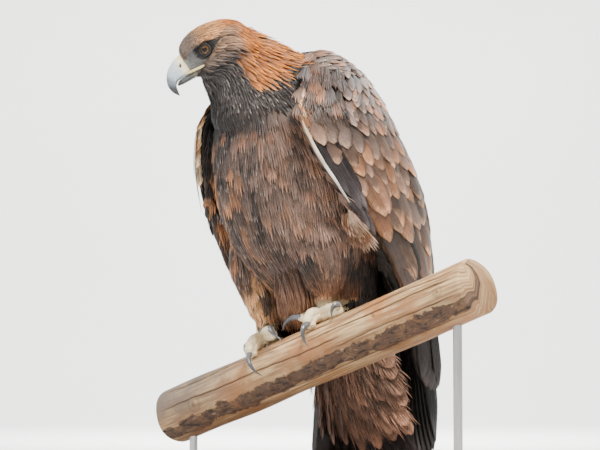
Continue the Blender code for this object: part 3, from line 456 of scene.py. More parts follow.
def trunk_rings(grow, levels=30, sides=40):
    z = np.linspace(TRUNK[0, 0], TRUNK[-1, 0], levels)
    wide, front, back = cubic(TRUNK[:, 0], TRUNK[:, 1:], z).T
    c, s = superellipse(around(sides), 2.25)
    x = (wide + grow)[:, None] * c
    y = ((front + back) / 2)[:, None] + ((back - front) / 2 + grow)[:, None] * s
    return np.stack([x, y, np.broadcast_to(z[:, None], x.shape)], -1)


def head_rings(grow, levels=24, sides=40):
    forward = np.linspace(HEAD[0, 0], HEAD[-1, 0], levels)
    top, bottom, wide = cubic(HEAD[:, 0], HEAD[:, 1:], forward).T
    c, s = superellipse(around(sides), 2.15)
    up = ((top + bottom) / 2)[:, None] + s * ((top - bottom) / 2 + grow)[:, None]
    left = c * ((1 - 0.12 * np.maximum(s, 0)) * wide[:, None] + grow)
    return on_head(forward[:, None], up, left)


def folded_turn(turn):
    """Degrees from the side of the neck, alike on both sides: 90 is the nape, -90 the throat."""
    return np.where(np.abs(turn) > 90, np.sign(turn) * 180 - turn, turn)


def neck_bow(station):
    """How far the neck is turned towards the bird's right."""
    return HEAD_TURN * np.maximum(0.0, 1 - np.asarray(station) / (len(NECK) - 1)) ** 0.8


def neck_frame(station):
    row = cubic(np.arange(len(NECK)), NECK, station)
    lean = np.radians(row[..., 5])[..., None]
    turn = neck_bow(station)[..., None]
    zero = np.zeros_like(turn)
    left = np.concatenate([np.cos(turn), -np.sin(turn), zero], -1)
    back = np.concatenate([np.sin(turn), np.cos(turn), zero], -1)
    return row, left, back * np.cos(lean) + UP * np.sin(lean)


def neck_rings(grow, levels=20, sides=40):
    row, left, rise = neck_frame(np.linspace(0, len(NECK) - 1, levels))
    a = around(sides)[None, :, None]
    return (
        row[:, None, :3]
        + rise[:, None] * (row[:, 3, None, None] + grow) * np.sin(a)
        + left[:, None] * (row[:, 4, None, None] + grow) * np.cos(a)
    )


def neck_place(points):
    """Where along the neck a point lies, from 0 at the head to 4, and how far round: 90 is the nape."""
    stations = np.linspace(0, len(NECK) - 1, 41)
    row, left, rise = neck_frame(stations)
    way = unit(np.cross(left, rise))
    way = way * np.sign((way @ (NECK[-1, :3] - NECK[0, :3])))[:, None]
    away = points[:, None] - row[None, :, :3]
    best = np.argmin(np.abs(np.einsum("nsk,sk->ns", away, way)) + 0.02 * np.linalg.norm(away, axis=-1), 1)
    n = np.arange(len(points))
    turn = np.degrees(np.arctan2(
        np.einsum("nk,nk->n", away[n, best], rise[best]) / row[best, 3],
        np.einsum("nk,nk->n", away[n, best], left[best]) / row[best, 4],
    ))
    return stations[best], turn


def thigh_rings(side, grow, levels=16, sides=28):
    last = len(THIGH) - 1
    station = np.linspace(0, last, levels)
    x, y, z, wide, deep = cubic(np.arange(last + 1), THIGH, station).T
    z = z + FEET_ALONG[side] * math.tan(LOG_SLOPE) * station / last
    a = around(sides)
    return np.stack([
        side * x[:, None] + (wide + grow)[:, None] * np.cos(a),
        y[:, None] + (deep + grow)[:, None] * np.sin(a),
        np.broadcast_to(z[:, None], (levels, sides)),
    ], -1)


def tarsus_rings(side, grow, levels=8, sides=24):
    foot_top = on_log(FEET_ALONG[side], -4.0, 1.5)
    share = np.linspace(0, 1, levels)
    radius = 2.0 - 0.4 * share + grow
    a = around(sides)
    return foot_top + stacked(
        radius[:, None] * np.cos(a), radius[:, None] * np.sin(a), (5.9 * (1 - share))[:, None])


# The folded wing: height, then five points from its leading edge round to the spine
WING = np.array((
    (-20.0, 9.8, 15.2, 11.0, 17.9, 11.6, 20.8, 10.2, 22.9, 5.5, 22.4),
    (-8.0, 11.1, 14.3, 12.3, 16.9, 12.4, 19.9, 10.0, 22.0, 2.4, 20.6),
    (0.0, 12.2, 11.9, 13.4, 14.9, 13.2, 18.0, 10.3, 20.4, 0.8, 18.2),
    (6.0, 12.9, 9.2, 14.0, 12.2, 13.6, 15.8, 10.6, 18.9, 0.5, 17.0),
    (12.0, 13.4, 4.2, 14.7, 8.0, 14.4, 13.2, 11.2, 18.2, 0.4, 16.8),
    (20.0, 13.5, -3.3, 15.2, 1.8, 15.2, 8.6, 12.0, 16.1, 0.4, 16.2),
    (27.0, 12.3, -8.4, 14.4, -2.6, 14.7, 5.2, 11.5, 13.0, 0.4, 14.8),
    (32.0, 11.0, -9.5, 13.4, -4.0, 13.7, 3.2, 10.6, 10.6, 0.4, 13.0),
    (36.3, 9.2, -7.0, 11.3, -1.8, 11.2, 4.4, 8.4, 9.8, 0.4, 11.2),
    (39.7, 6.4, -3.6, 8.3, 0.6, 8.3, 4.8, 5.9, 8.4, 0.4, 9.6),
    (41.9, 3.6, 0.4, 5.0, 2.2, 5.0, 4.7, 3.5, 6.9, 0.4, 8.0),
    (43.2, 0.9, 2.2, 1.7, 3.0, 1.8, 4.3, 1.2, 5.6, 0.4, 6.4),
))
RIGHT_WING_HANG = np.array((
    (-20.0, 0.0, 1.0), (-8.0, 0.0, 1.2), (-4.0, 0.0, -2.5), (0.0, 0.3, -6.0), (6.0, 1.0, -7.6),
    (12.0, 1.5, -5.8), (20.0, 1.2, -1.5), (27.0, 0.0, 0.0), (43.2, 0.0, 0.0),
))
WING_FOOT, WING_TOP = WING[0, 0], WING[-1, 0]


class Wing:
    """The outer surface of one folded wing, read at heights and shares across it."""

    def __init__(self, side):
        self.side = side
        self.z = np.linspace(WING_FOOT, WING_TOP, 159)
        self.t = np.linspace(0.0, 1.0, 61)
        lines = cubic(WING[:, 0], WING[:, 1:], self.z).reshape(len(self.z), 5, 2)
        flat = cubic(np.linspace(0, 1, 5), lines.transpose(1, 0, 2), self.t)
        if side < 0:
            out, ahead = cubic(RIGHT_WING_HANG[:, 0], RIGHT_WING_HANG[:, 1:], self.z).T
            flat[..., 0] += out[None] * (1 - self.t)[:, None]
            flat[..., 1] += ahead[None] * (1 - self.t)[:, None] ** 1.3
        height = np.broadcast_to(self.z[None, :, None], (len(self.t), len(self.z), 1))
        self.points = np.concatenate([flat, height], -1)
        self.points[..., 0] *= side
        by_t = np.gradient(self.points, self.t, axis=0)
        by_z = np.gradient(self.points, self.z, axis=1)
        self.stretch = np.linalg.norm(by_t, axis=-1, keepdims=True)
        self.over = by_t
        self.normals = unit(np.cross(by_t, by_z)) * side

    def read(self, table, z, t):
        i = np.clip(t, 0, 1) * (len(self.t) - 1)
        j = (np.clip(z, WING_FOOT, WING_TOP) - WING_FOOT) / (WING_TOP - WING_FOOT) * (len(self.z) - 1)
        i0 = np.clip(i.astype(int), 0, len(self.t) - 2)
        j0 = np.clip(j.astype(int), 0, len(self.z) - 2)
        a, b = (i - i0)[..., None], (j - j0)[..., None]
        return (
            table[i0, j0] * (1 - a) * (1 - b) + table[i0 + 1, j0] * a * (1 - b)
            + table[i0, j0 + 1] * (1 - a) * b + table[i0 + 1, j0 + 1] * a * b
        )

    def slab(self, low, high, inset, thick, levels=24, steps=30):
        z = np.linspace(low, high, levels)[:, None]
        t = np.linspace(0, 1, steps)[None]
        z, t = np.broadcast_arrays(z, t)
        where, normal = self.read(self.points, z, t), self.read(self.normals, z, t)
        level = unit(normal * (1, 1, 0))
        inner = where - level * (inset + thick * np.minimum(1, 0.2 + 4 * t)[..., None])
        return np.concatenate([where - level * inset, inner[:, ::-1]], 1)


WINGS = {1: Wing(1), -1: Wing(-1)}


# The skin under the coat, one surface


def closed_form(rings):
    sides, caps = ring_faces(1, rings.shape[0], rings.shape[1])
    return rings.reshape(-1, 3), [sides, caps]


def joined(forms):
    points, quads, caps = [], [], []
    count = 0
    for where, faces in forms:
        points.append(where)
        quads.append(faces[0] + count)
        caps += [tuple(int(i) + count for i in cap) for cap in faces[1]]
        count += len(where)
    return np.concatenate(points), np.concatenate(quads), caps


COAT_DEPTH = 0.45
SKIN_VOXEL = 0.0036


def face_outwards(mesh):
    shape = bmesh.new()
    shape.from_mesh(mesh)
    bmesh.ops.recalc_face_normals(shape, faces=shape.faces)
    shape.to_mesh(mesh)
    shape.free()


def by_size(caps):
    """End caps in groups with as many corners each."""
    groups = {}
    for cap in caps:
        groups.setdefault(len(cap), []).append(cap)
    return list(groups.values())


def remeshed(forms, voxel, rounds):
    """The forms fused into one closed surface and smoothed."""
    points, quads, caps = joined(forms)
    mesh = bpy.data.meshes.new("forms")
    mesh.from_pydata(into_part(points).tolist(), [], quads.tolist() + caps)
    face_outwards(mesh)
    thing = placed("forms", mesh)
    fused = thing.modifiers.new("fuse", "REMESH")
    fused.mode = "VOXEL"
    fused.voxel_size = voxel
    calm = thing.modifiers.new("calm", "SMOOTH")
    calm.factor = 0.5
    calm.iterations = rounds
    graph = bpy.context.evaluated_depsgraph_get()
    made = bpy.data.meshes.new_from_object(thing.evaluated_get(graph))
    bpy.data.objects.remove(thing)
    where = np.empty(len(made.vertices) * 3)
    made.vertices.foreach_get("co", where)
    where = where.reshape(-1, 3) / CM + (*STAND_CENTRE, -PERCH_HEIGHT)
    faces = np.array([p.vertices[:] for p in made.polygons])
    bpy.data.meshes.remove(made)
    return where, faces


def normals_of(points, faces):
    a, b, c = points[faces[:, 0]], points[faces[:, 1]], points[faces[:, 2]]
    flat = np.cross(b - a, c - a)
    out = np.zeros_like(points)
    for k in range(faces.shape[1]):
        np.add.at(out, faces[:, k], flat)
    return unit(out)


body_points, body_faces = remeshed(
    [closed_form(trunk_rings(-COAT_DEPTH)), closed_form(neck_rings(-COAT_DEPTH))]
    + [closed_form(head_rings(-0.35)[:14])]
    + [closed_form(thigh_rings(side, -COAT_DEPTH)) for side in SIDES]
    + [closed_form(tarsus_rings(side, -0.25)) for side in SIDES]
    + [closed_form(WINGS[side].slab(5.0, 43.0, COAT_DEPTH, 3.0)) for side in SIDES],
    voxel=SKIN_VOXEL, rounds=6,
)


# The fine face: the head's own form, hollowed round the eyes


def face_form():
    rings = head_rings(-0.12, 110, 150)
    where = rings.reshape(-1, 3)
    for side in SIDES:
        depth, radial = beside_eye(where, side)
        near = (depth > -0.6) & (radial < 2.2)
        hollow = 0.95 * (1 - smooth(0.72, 1.05, radial)) + 0.28 * (1 - smooth(1.0, 1.9, radial))
        where = where - eye_axis(side) * np.where(near, hollow, 0.0)[:, None]
    return where.reshape(rings.shape)


BROW = (
    (3.1, 0.6, 1.5, 0.16), (1.9, 0.66, 2.25, 0.36), (0.7, 0.74, 2.94, 0.46), (-0.5, 0.7, 3.26, 0.42),
    (-1.8, 0.46, 3.48, 0.2)
)


def brow_form(side):
    path = cubic(np.arange(5), BROW, np.linspace(0, 4, 40))
    a = around(20)[None]
    forward, up, out, thick = [path[:, k, None] for k in range(4)]
    return on_head(forward, up + 0.85 * thick * np.sin(a), side * (out + 0.95 * thick * np.cos(a)))


def lid_form(side):
    """Both lids: a rim round the eye, thicker above, with a thin inner edge."""
    axis, across, rise = eye_frame(side)
    turn = around(72)[:, None]
    rim = around(14)[None]
    radius = EYE_OPENING + 0.12 + 0.14 * np.cos(rim) - 0.1 * np.maximum(np.sin(turn), 0) ** 2
    out = 0.84 + 0.14 * np.sin(rim) + 0.05 * np.sin(turn)
    return (
        eye_centre(side) + axis * out[..., None]
        + across * (radius * np.cos(turn))[..., None] + rise * (radius * np.sin(turn) * 0.97)[..., None]
    )


def wrapped_faces(rings, sides):
    """Faces of a ring-shaped tube that closes on itself both ways."""
    k = np.arange(rings)[:, None] * sides
    after = (np.arange(rings)[:, None] + 1) % rings * sides
    j = np.arange(sides)[None]
    beside = (j + 1) % sides
    return np.stack([k + j, after + j, after + beside, k + beside], -1).reshape(-1, 4)


face_rings = face_form()


# Colours of the plumage, by place

GOLD, GOLD_EDGE = srgb(166, 86, 16), srgb(242, 154, 50)
CROWN, CROWN_EDGE = srgb(200, 140, 84), srgb(250, 206, 150)
FOREHEAD = srgb(100, 88, 80)
CHEEK, EAR = srgb(156, 124, 98), srgb(110, 90, 78)
THROAT, THROAT_EDGE = srgb(50, 42, 40), srgb(164, 153, 147)
BREAST, BREAST_EDGE = srgb(88, 70, 62), srgb(156, 134, 122)
RUFOUS, ORANGE = srgb(160, 104, 66), srgb(224, 150, 88)
BUFF, CREAM = srgb(190, 160, 138), srgb(234, 212, 176)
THIGH_TINT, THIGH_EDGE = srgb(100, 76, 64), srgb(170, 138, 116)
SOFT_BROWN, UNDERTAIL, LIT_PALE_ORANGE = srgb(146, 114, 98), srgb(134, 98, 78), srgb(220, 160, 108)
MANTLE, MANTLE_EDGE = srgb(100, 84, 76), srgb(156, 134, 120)
MASK, LORES = srgb(54, 52, 52), srgb(126, 126, 124)


def lerp(a, b, share):
    share = np.asarray(share)[..., None]
    return a * (1 - share) + b * share


def painted(tint, edge, new_tint, new_edge, share):
    """The two colours of a coat, turned by a share towards two others."""
    return lerp(tint, new_tint, share), lerp(edge, new_edge, share)


def leg_height(points):
    return points[:, 2] - points[:, 0] * math.tan(LOG_SLOPE)


# How low the golden hackles' roots reach round the neck, in degrees from its side, and how far along it
HACKLE_SHAPE = (
    (-0.5, 2.0), (0.7, -2.0), (1.3, -12.0), (1.75, -19.0), (2.1, -16.0), (2.15, 5.0), (2.12, 35.0),
    (2.0, 95.0), (-0.5, 95.0)
)


# What one station along the neck counts for beside a degree round it
STATION_DEGREES = 25.0


def in_hackles(station, folded):
    inside = within(station * STATION_DEGREES, folded, [(a * STATION_DEGREES, b) for a, b in HACKLE_SHAPE])
    return smooth(-1.5, 1.5, inside)


def plumage(points, draw=None):
    """Centre and edge colours of the coat at points of the head, neck and body."""
    roll = np.full((4, len(points)), 0.5) if draw is None else draw.uniform(size=(4, len(points)))
    forward, up, left = head_place(points)
    station, turn = neck_place(points)
    z = points[:, 2]
    # The breast's streaks: orange tips on the bird's right, grey-brown in its middle, softer on its left
    streak = 0.36 * wander(points * (1, 1, 0.4), 3.2, 3) + (roll[0] - 0.5) * 2.4
    right = smooth(3.0, -7.0, points[:, 0])
    softer = smooth(1.0, 9.0, points[:, 0])
    tint = lerp(
        BREAST, lerp(RUFOUS, ORANGE, 0.5 * right),
        (0.3 + 0.5 * np.maximum(right, softer)) * smooth(0.1, 0.8, streak)
    )
    bright = ORANGE * (1 + 0.25 * right[:, None])
    edge = lerp(BREAST_EDGE, bright, smooth(0.1, 0.8, streak) * (0.25 + 0.7 * right))
    tint = lerp(tint, THROAT * 0.7, 0.9 * smooth(-0.1, -0.6, streak) * (1 - 0.5 * softer))
    edge = lerp(edge, THROAT_EDGE, 0.6 * smooth(-0.2, -0.8, streak))
    tint = lerp(tint, SOFT_BROWN, 0.6 * softer * smooth(8.0, 14.0, z))
    tint, edge = painted(tint, edge, THIGH_TINT, THIGH_EDGE, 0.6 * smooth(22.0, 10.0, z))
    # The mantle on the back
    back = smooth(1.0, 6.0, points[:, 1]) * smooth(14.0, 22.0, z)
    tint, edge = painted(tint, edge, MANTLE, MANTLE_EDGE, back)
    # Under the chin and beside the neck, dark with grey edges
    on_neck = smooth(29.8, 33.0, z - 0.12 * (points[:, 0] + 2.0))
    folded = folded_turn(turn)
    dark = on_neck * smooth(70.0, 40.0, folded + 10 * (roll[1] - 0.5))
    tint, edge = painted(tint, edge, THROAT, THROAT_EDGE, dark)
    # Darker still at the front of the throat: painted shade
    tint = lerp(tint, THROAT * 0.4, dark * smooth(-40.0, -66.0, folded))
    edge = lerp(edge, THROAT, dark * smooth(-44.0, -66.0, folded))
    # Deep shade where the neck's feathers meet the right wing, below the breast and under the left wing
    across = (points[:, 0] + points[:, 1]) / math.sqrt(2)
    deep = smooth(-11.2, -12.0, across) * smooth(25.0, 27.0, z) * smooth(38.5, 37.0, z)
    deep = np.maximum(
        deep, np.exp(-(((across - 1.6) / 2.2) ** 2) - ((z - 12.0) / 1.1) ** 2) * (points[:, 1] < 0)
    )
    deep = np.maximum(deep, smooth(6.6, 8.6, across) * smooth(15.0, 12.0, z))
    tint, edge = painted(tint, edge, THROAT * 0.2, THROAT * 0.4, 0.95 * deep)
    # Golden hackles, over the nape and both sides of the neck
    gold = in_hackles(station + 0.12 * (roll[2] - 0.5), folded + 6 * (roll[3] - 0.5))
    tint = lerp(tint, lerp(GOLD, CROWN * 0.8, roll[3] * 0.5), gold)
    edge = lerp(edge, GOLD_EDGE, gold)
    # The head: crown, forehead, cheek and chin
    head = smooth(-5.4, -3.4, forward) * smooth(6.6, 5.2, np.sqrt(forward**2 + up**2 + left**2))
    crown = lerp(CROWN, GOLD, smooth(-1.0, -4.0, forward))
    crown = lerp(crown, FOREHEAD, 0.95 * smooth(-0.8, 1.4, forward - 0.35 * (up - 1.5)))
    # An orange line above the eye: the brow's tawny feathers, brightened as a painted highlight
    crown = lerp(
        crown, ORANGE,
        0.7 * smooth(0.5, 0.1, np.abs(up - 0.95 - 0.12 * forward)) * smooth(2.2, 1.0, forward)
    )
    cheek = smooth(0.8, -0.6, up + 0.3 * forward + 0.3 * (roll[0] - 0.5))
    crown = lerp(crown, CHEEK, cheek * 0.9)
    ear = smooth(-1.3, -2.3, up - 0.12 * forward + 0.3 * (roll[1] - 0.5))
    crown = lerp(crown, EAR, ear)
    crown = lerp(crown, THROAT, smooth(-2.2, -3.0, up - 0.1 * forward + 0.3 * (roll[2] - 0.5)))
    crown_edge = lerp(CROWN_EDGE, GOLD_EDGE, smooth(-1.0, -4.0, forward))
    crown_edge = lerp(crown_edge, crown * 1.45, np.maximum(cheek, smooth(0.4, 2.4, forward)))
    tint, edge = painted(tint, edge, crown, crown_edge, head)
    # The dark skin round the eye and the paler skin before it
    beside = np.abs(left) > 0.8
    jitter = 0.12 * (roll[1] - 0.5)
    lores = smooth(-0.15, 0.2, within(forward + jitter, up, LORE_SHAPE)) * beside * head
    bare = LORES * (0.75 + 0.4 * smooth(1.2, 3.0, forward) + 0.3 * (roll[2] - 0.5))[:, None]
    tint, edge = painted(tint, edge, bare, bare * 1.4, lores)
    mask = smooth(-0.06, 0.1, within(forward, up + jitter, MASK_SHAPE)) * beside * head
    tint, edge = painted(tint, edge, MASK, MASK * 1.4, mask)
    # Feathered shanks, cream above the toes
    leg = smooth(9.0, 3.0, leg_height(points)) * (points[:, 1] < 5)
    tint = lerp(tint, RUFOUS * 1.15, 0.55 * leg)
    edge = lerp(edge, ORANGE, 0.6 * leg)
    # The outer side of the bird's right leg is pale orange, partly its own colour and partly painted
    # sunlight, with a dark streak
    across = across + 0.5 * (roll[0] - 0.5)
    right_leg = smooth(11.0, 8.5, leg_height(points)) * smooth(-2.6, -3.6, points[:, 0]) * (z < 12)
    pale = smooth(-2.8, -3.4, across) * right_leg
    tint, edge = lerp(tint, LIT_PALE_ORANGE, 0.95 * pale), lerp(edge, CREAM, 0.8 * pale)
    streak = smooth(0.5, 0.2, np.abs(across + 4.4)) * right_leg
    tint, edge = painted(tint, edge, THROAT * 0.5, THROAT, 0.9 * streak)
    shank = smooth(4.4, 2.4, leg_height(points)) * (points[:, 1] < 5)
    tint, edge = painted(tint, edge, CREAM * 0.8, CREAM, shank)
    # The rump and the undertail coverts are rufous brown
    rump = smooth(3.0, -2.0, z) * (points[:, 1] > 5)
    tint, edge = painted(tint, edge, UNDERTAIL, UNDERTAIL * 1.3, rump)
    worn = (1.0 + 0.62 * (roll[1] - 0.5) + 0.16 * wander(points, 7.0, 5))[:, None]
    return tint * worn, edge * worn


# The skin, with its face

brow_rings = {side: brow_form(side) for side in SIDES}
lid_rings = {side: lid_form(side) for side in SIDES}
face_parts = [closed_form(face_rings)] + [closed_form(brow_rings[side]) for side in SIDES]
skin_points, skin_quads, skin_caps = joined([(body_points, [body_faces, []])] + face_parts)
lid_start = len(skin_points)
lid_faces = []
for side in SIDES:
    lid_faces.append(wrapped_faces(*lid_rings[side].shape[:2]) + len(skin_points))
    skin_points = np.concatenate([skin_points, lid_rings[side].reshape(-1, 3)])
skin_tint = plumage(skin_points)[0]
# The body's skin is darker than its coat: painted shade where it shows between the feathers
skin_tint[:len(body_points)] *= 0.55
skin_tint[lid_start:] = MASK * 0.55
skin = mesh_object(
    "skin", skin_points, [np.concatenate([skin_quads, *lid_faces])] + by_size(skin_caps),
    flat_colours={"Tint": skin_tint},
)


def skin_finish():
    f = Finish("skin")
    tint = f.add("Attribute", attribute_name="Tint")["Color"]
    pores = f.noise(f.place(), 900.0, 3.0, 0.6)
    folds = f.noise(f.place(), 260.0, 2.0, 0.5, 0.6)
    light = f.times_plus(f.plus(pores, folds), 0.7, 0.3)
    colour = f.mix(1.0, tint, f.grey(light), "MULTIPLY")
    height = f.plus(pores, f.times(folds, 2.0))
    return f.done(
        colour, f.step(folds, 0.3, 0.7, 0.55, 0.75), f.bump(height, 0.5, 0.0005), Specular_IOR_Level=0.35
    )


skin.data.materials.append(skin_finish())
face_outwards(skin.data)
bpy.context.view_layer.objects.active = skin
skin.select_set(True)
bpy.ops.object.mode_set(mode="EDIT")
bpy.ops.mesh.select_all(action="SELECT")
bpy.ops.uv.smart_project(angle_limit=1.15, island_margin=0.001)
bpy.ops.object.mode_set(mode="OBJECT")
skin.select_set(False)
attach(skin, "root")
FLESH = ["head", "neck", "torso"]
for word in ("left", "right"):
    FLESH += [f"thigh_{word}", f"tarsus_{word}"]
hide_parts(*FLESH)

# Where each feather's root lies on the skin's unwrap
polygons = [p.vertices[:] for p in skin.data.polygons]
skin_tree = BVHTree.FromPolygons([tuple(p) for p in skin_points], polygons)
unwrap = np.empty(len(skin.data.loops) * 2)
skin.data.uv_layers.active.uv.foreach_get("vector", unwrap)
unwrap = unwrap.reshape(-1, 2)
polygon_start = np.empty(len(skin.data.polygons), int)
skin.data.polygons.foreach_get("loop_start", polygon_start)
PATCH, PATCH_GAP = 0.003, 1.15


def root_patches(roots):
    """Lower corners of the feathers' patches on the unwrap, no two in one place."""
    taken, corners = set(), []
    for root in roots:
        index = skin_tree.find_nearest(Vector(root))[2]
        start = polygon_start[index]
        ends = unwrap[start:start + len(polygons[index])]
        where = np.array([skin_points[i] for i in polygons[index]])
        near = 1 / (np.linalg.norm(where - root, axis=1) + 0.05)
        spot = (ends * near[:, None]).sum(0) / near.sum()
        cell = tuple(np.floor(spot / (PATCH * PATCH_GAP)).astype(int))
        reach = 0
        while cell in taken:
            reach += 1
            turn = reach * 2.4
            shift = 0.6 * math.sqrt(reach) * np.array([math.cos(turn), math.sin(turn)])
            cell = tuple(np.floor(spot / (PATCH * PATCH_GAP) + shift).astype(int))
        taken.add(cell)
        corners.append(np.array(cell) * PATCH * PATCH_GAP)
    return np.clip(np.array(corners), 0.0, 1.0 - PATCH)


# Feathers: spines first, then the vanes or loose barbs along them


class Spines:
    """Lines along which feathers grow: points, the way across and the way out, at even steps."""

    def __init__(self, points, over, out):
        self.points, self.over, self.out = points, unit(over), unit(out)
        self.count, self.steps = points.shape[:2]

    def read(self, v):
        """Points, across and out at shares along, an array of one row per feather."""
        at = np.clip(v, 0, 1) * (self.steps - 1)
        i = np.clip(at.astype(int), 0, self.steps - 2)
        a = (at - i)[..., None]
        n = np.arange(self.count).reshape((-1,) + (1,) * (v.ndim - 1))
        return [
            table[n, i] * (1 - a) + table[n, i + 1] * a
            for table in (self.points, self.over, self.out)
        ]


def walk(tree, smooth_out, roots, lie, length, lift, steps=7, sink=0.15, curve=0.0):
    """Spines that follow the skin from their roots, rising towards their tips."""
    where = np.array(roots, float)
    count = len(where)
    pace = length / (steps - 1)
    points, outs, ways = [], [], []
    way = None
    for k in range(steps):
        found = [tree.find_nearest(Vector(p)) for p in where]
        on = np.array([f[0] for f in found])
        out = smooth_out[[f[2] for f in found]]
        wanted = lie(on)
        way = wanted if way is None else unit(way * 0.55 + wanted * 0.45)
        way = unit(way - np.einsum("nk,nk->n", way, out)[:, None] * out)
        points.append(on)
        outs.append(out)
        ways.append(way)
        where = on + way * pace[:, None]
    points, outs, ways = (np.stack(a, 1) for a in (points, outs, ways))
    outs[:, 1:] = unit(outs[:, 1:] + outs[:, :-1])
    over = np.cross(ways, outs)
    v = np.linspace(0, 1, steps)[None, :, None]
    rise = -sink + (sink + np.broadcast_to(lift, (count,))[:, None, None]) * v**0.8
    sway = curve * np.sin(np.arange(count) * 12.9898)[:, None, None] * v**2
    return Spines(points + outs * rise + over * sway, over, outs)


def width_rule(root, grown, full, tip, power, blunt):
    """Half the width along a feather, as a share of its greatest: how wide the root is, where it is
    fully grown, where the tip begins and how long it is, and how round it ends."""

    def width(v):
        end = np.clip(1 - np.maximum(0, (v - full) / tip) ** power, 0.0, 1)
        return (root + (1 - root) * smooth(0.0, grown, v)) * end**blunt

    return width


round_width = width_rule(0.42, 0.45, 0.5, 0.505, 2, 0.72)
soft_width = width_rule(0.5, 0.4, 0.55, 0.455, 2.5, 0.5)
lance_width = width_rule(0.5, 0.35, 0.35, 0.66, 1.5, 1)
lance_end = width_rule(0.35, 0.3, 0.7, 0.305, 2, 0.8)
long_width = width_rule(0.35, 0.3, 0.88, 0.122, 2, 0.5)


def keeled(middle, over, out, half, high):
    """Points round a small feather: its two edges and the keel between them."""
    half = half[..., None]
    return [middle - over * half, middle + out * (half * high), middle + over * half]


class Coat:
    """Feathers of one piece, gathered and then written as a mesh."""

    def __init__(self, name):
        self.name = name
        self.points, self.quads, self.caps = [], [], []
        self.feather_uv, self.number, self.tints, self.edges, self.roots = [], [], [], [], []
        self.total = 0
        self.feathers = 0

    def put(self, ring, uvs, tint, edge):
        """A closed tube for each feather, from the points round it and their places on the vane."""
        rings = np.stack(ring, 2)
        tubes, steps, ends = rings.shape[:3]
        sides, caps = ring_faces(tubes, steps, ends)
        self.points.append(rings.reshape(-1, 3))
        self.quads.append(sides + self.total)
        self.caps.append(caps + self.total)
        self.feather_uv.append(np.stack(uvs, 2).reshape(-1, 2))
        whose = np.repeat(np.arange(tubes), steps * ends)
        self.number.append(whose + self.feathers)
        self.tints.append(tint[whose])
        self.edges.append(edge[whose])
        self.total += tubes * steps * ends

    def vanes(
        self, spines, width, outline, tint, edge, rings=9, thick=0.05, camber=0.12, tilt=0.0, fray=0.05
    ):
        """Firm vanes: five points across, a raised shaft and a closed underside."""
        n = spines.count
        width = np.broadcast_to(width, (n,))
        v = np.broadcast_to(np.linspace(0, 1, rings)[None], (n, rings))
        middle, over, out = spines.read(v)
        half = (width / 2)[:, None] * np.maximum(outline(v), 0.03)
        ragged = 1 + fray * rng.normal(size=(n, rings, 2))
        columns = np.array([-1.0, -0.5, 0.0, 0.5, 1.0])
        ring, uvs = [], []
        tilt = np.broadcast_to(tilt, (n,))
        for face, members in ((0, range(5)), (1, (3, 2, 1))):
            for c in members:
                u = columns[c]
                reach = half * (ragged[..., 0] if u < 0 else ragged[..., 1])
                high = -camber * u**2 * half + tilt[:, None] * u * half + (0.035 if c == 2 else 0.0)
                high = high - face * thick * (1 - 0.6 * v)
                ring.append(middle + over * (u * reach)[..., None] + out * high[..., None])
                uvs.append(np.stack([np.full_like(v, 0.5 + 0.5 * u), v], -1))
        self.put(ring, uvs, tint, edge)
        self.finish_group(spines)

    def slivers(self, spines, width, outline, tint, edge, rings=6, high=0.3):
        """Small feathers: a keeled sliver each."""
        n = spines.count
        width = np.broadcast_to(width, (n,))
        v = np.broadcast_to(np.linspace(0, 1, rings)[None], (n, rings))
        middle, over, out = spines.read(v)
        half = (width / 2)[:, None] * np.maximum(outline(v), 0.04)
        ring = keeled(middle, over, out, half, high)
        uvs = [np.stack([np.full_like(v, u), v], -1) for u in (0.1, 0.5, 0.9)]
        self.put(ring, uvs, tint, edge)
        self.finish_group(spines)

    def plumes(self, spines, width, tint, edge, barbs=7, rings=6, spread=1.0, loose=0.08, high=0.35):
        """Soft feathers: locks of barbs that leave the shaft and end in loose points."""
        n = spines.count
        width = np.broadcast_to(width, (n,))
        share = np.linspace(-1, 1, barbs)
        for j, a in enumerate(share):
            draw = rng.normal(size=(4, n))
            long = np.clip(1 - 0.3 * a**2 + 0.07 * draw[0] - 0.05 * (j % 2), 0.5, 1.0)
            v = np.linspace(0, 1, rings)[None] * long[:, None]
            middle, over, out = spines.read(v)
            half = (width / 2)[:, None]
            leave = smooth(-0.1, 0.75, v)
            u = a * leave * spread + loose * draw[1][:, None] * v**2
            thin = half / barbs * 1.75 * np.clip(
                1 - np.maximum(0, (v / long[:, None] - 0.5) / 0.5) ** 1.6, 0.05, 1
            )
            thin = thin * (0.6 + 0.4 * smooth(0.0, 0.3, v))
            rise = -0.18 * half * u**2 + 0.05 * draw[2][:, None] * v + 0.012 * (j % 3)
            middle = middle + over * (u * half)[..., None] + out * rise[..., None]
            ring = keeled(middle, over, out, thin, high)
            flat_u = np.clip(0.5 + 0.5 * u * 0.95, 0.02, 0.98)
            width_u = 0.5 / barbs
            uvs = [np.stack([np.clip(flat_u + k * width_u, 0, 1), v], -1) for k in (-1, 0, 1)]
            self.put(ring, uvs, tint, edge)
        self.finish_group(spines)

    def finish_group(self, spines):
        self.roots.append(spines.points[:, 0])
        self.feathers += spines.count

    def write(self, finish, slot_name, *nodes):
        roots = np.concatenate(self.roots)
        corners = root_patches(roots)
        number = np.concatenate(self.number)
        uv = np.concatenate(self.feather_uv)
        tint = np.concatenate(self.tints)
        roll = rng.uniform(size=self.feathers)[number]
        tint = np.concatenate([tint, roll[:, None]], 1)
        edge = np.concatenate(self.edges)
        thing = mesh_object(
            self.name, np.concatenate(self.points), [np.concatenate(self.quads)] + self.caps,
            uv={"Feather": uv, "OFBake": corners[number] + uv * PATCH},
            flat_colours={"Tint": tint, "Edge": edge},
        )
        thing.data.materials.append(finish)
        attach(thing, "root")
        if nodes:
            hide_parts(*nodes)


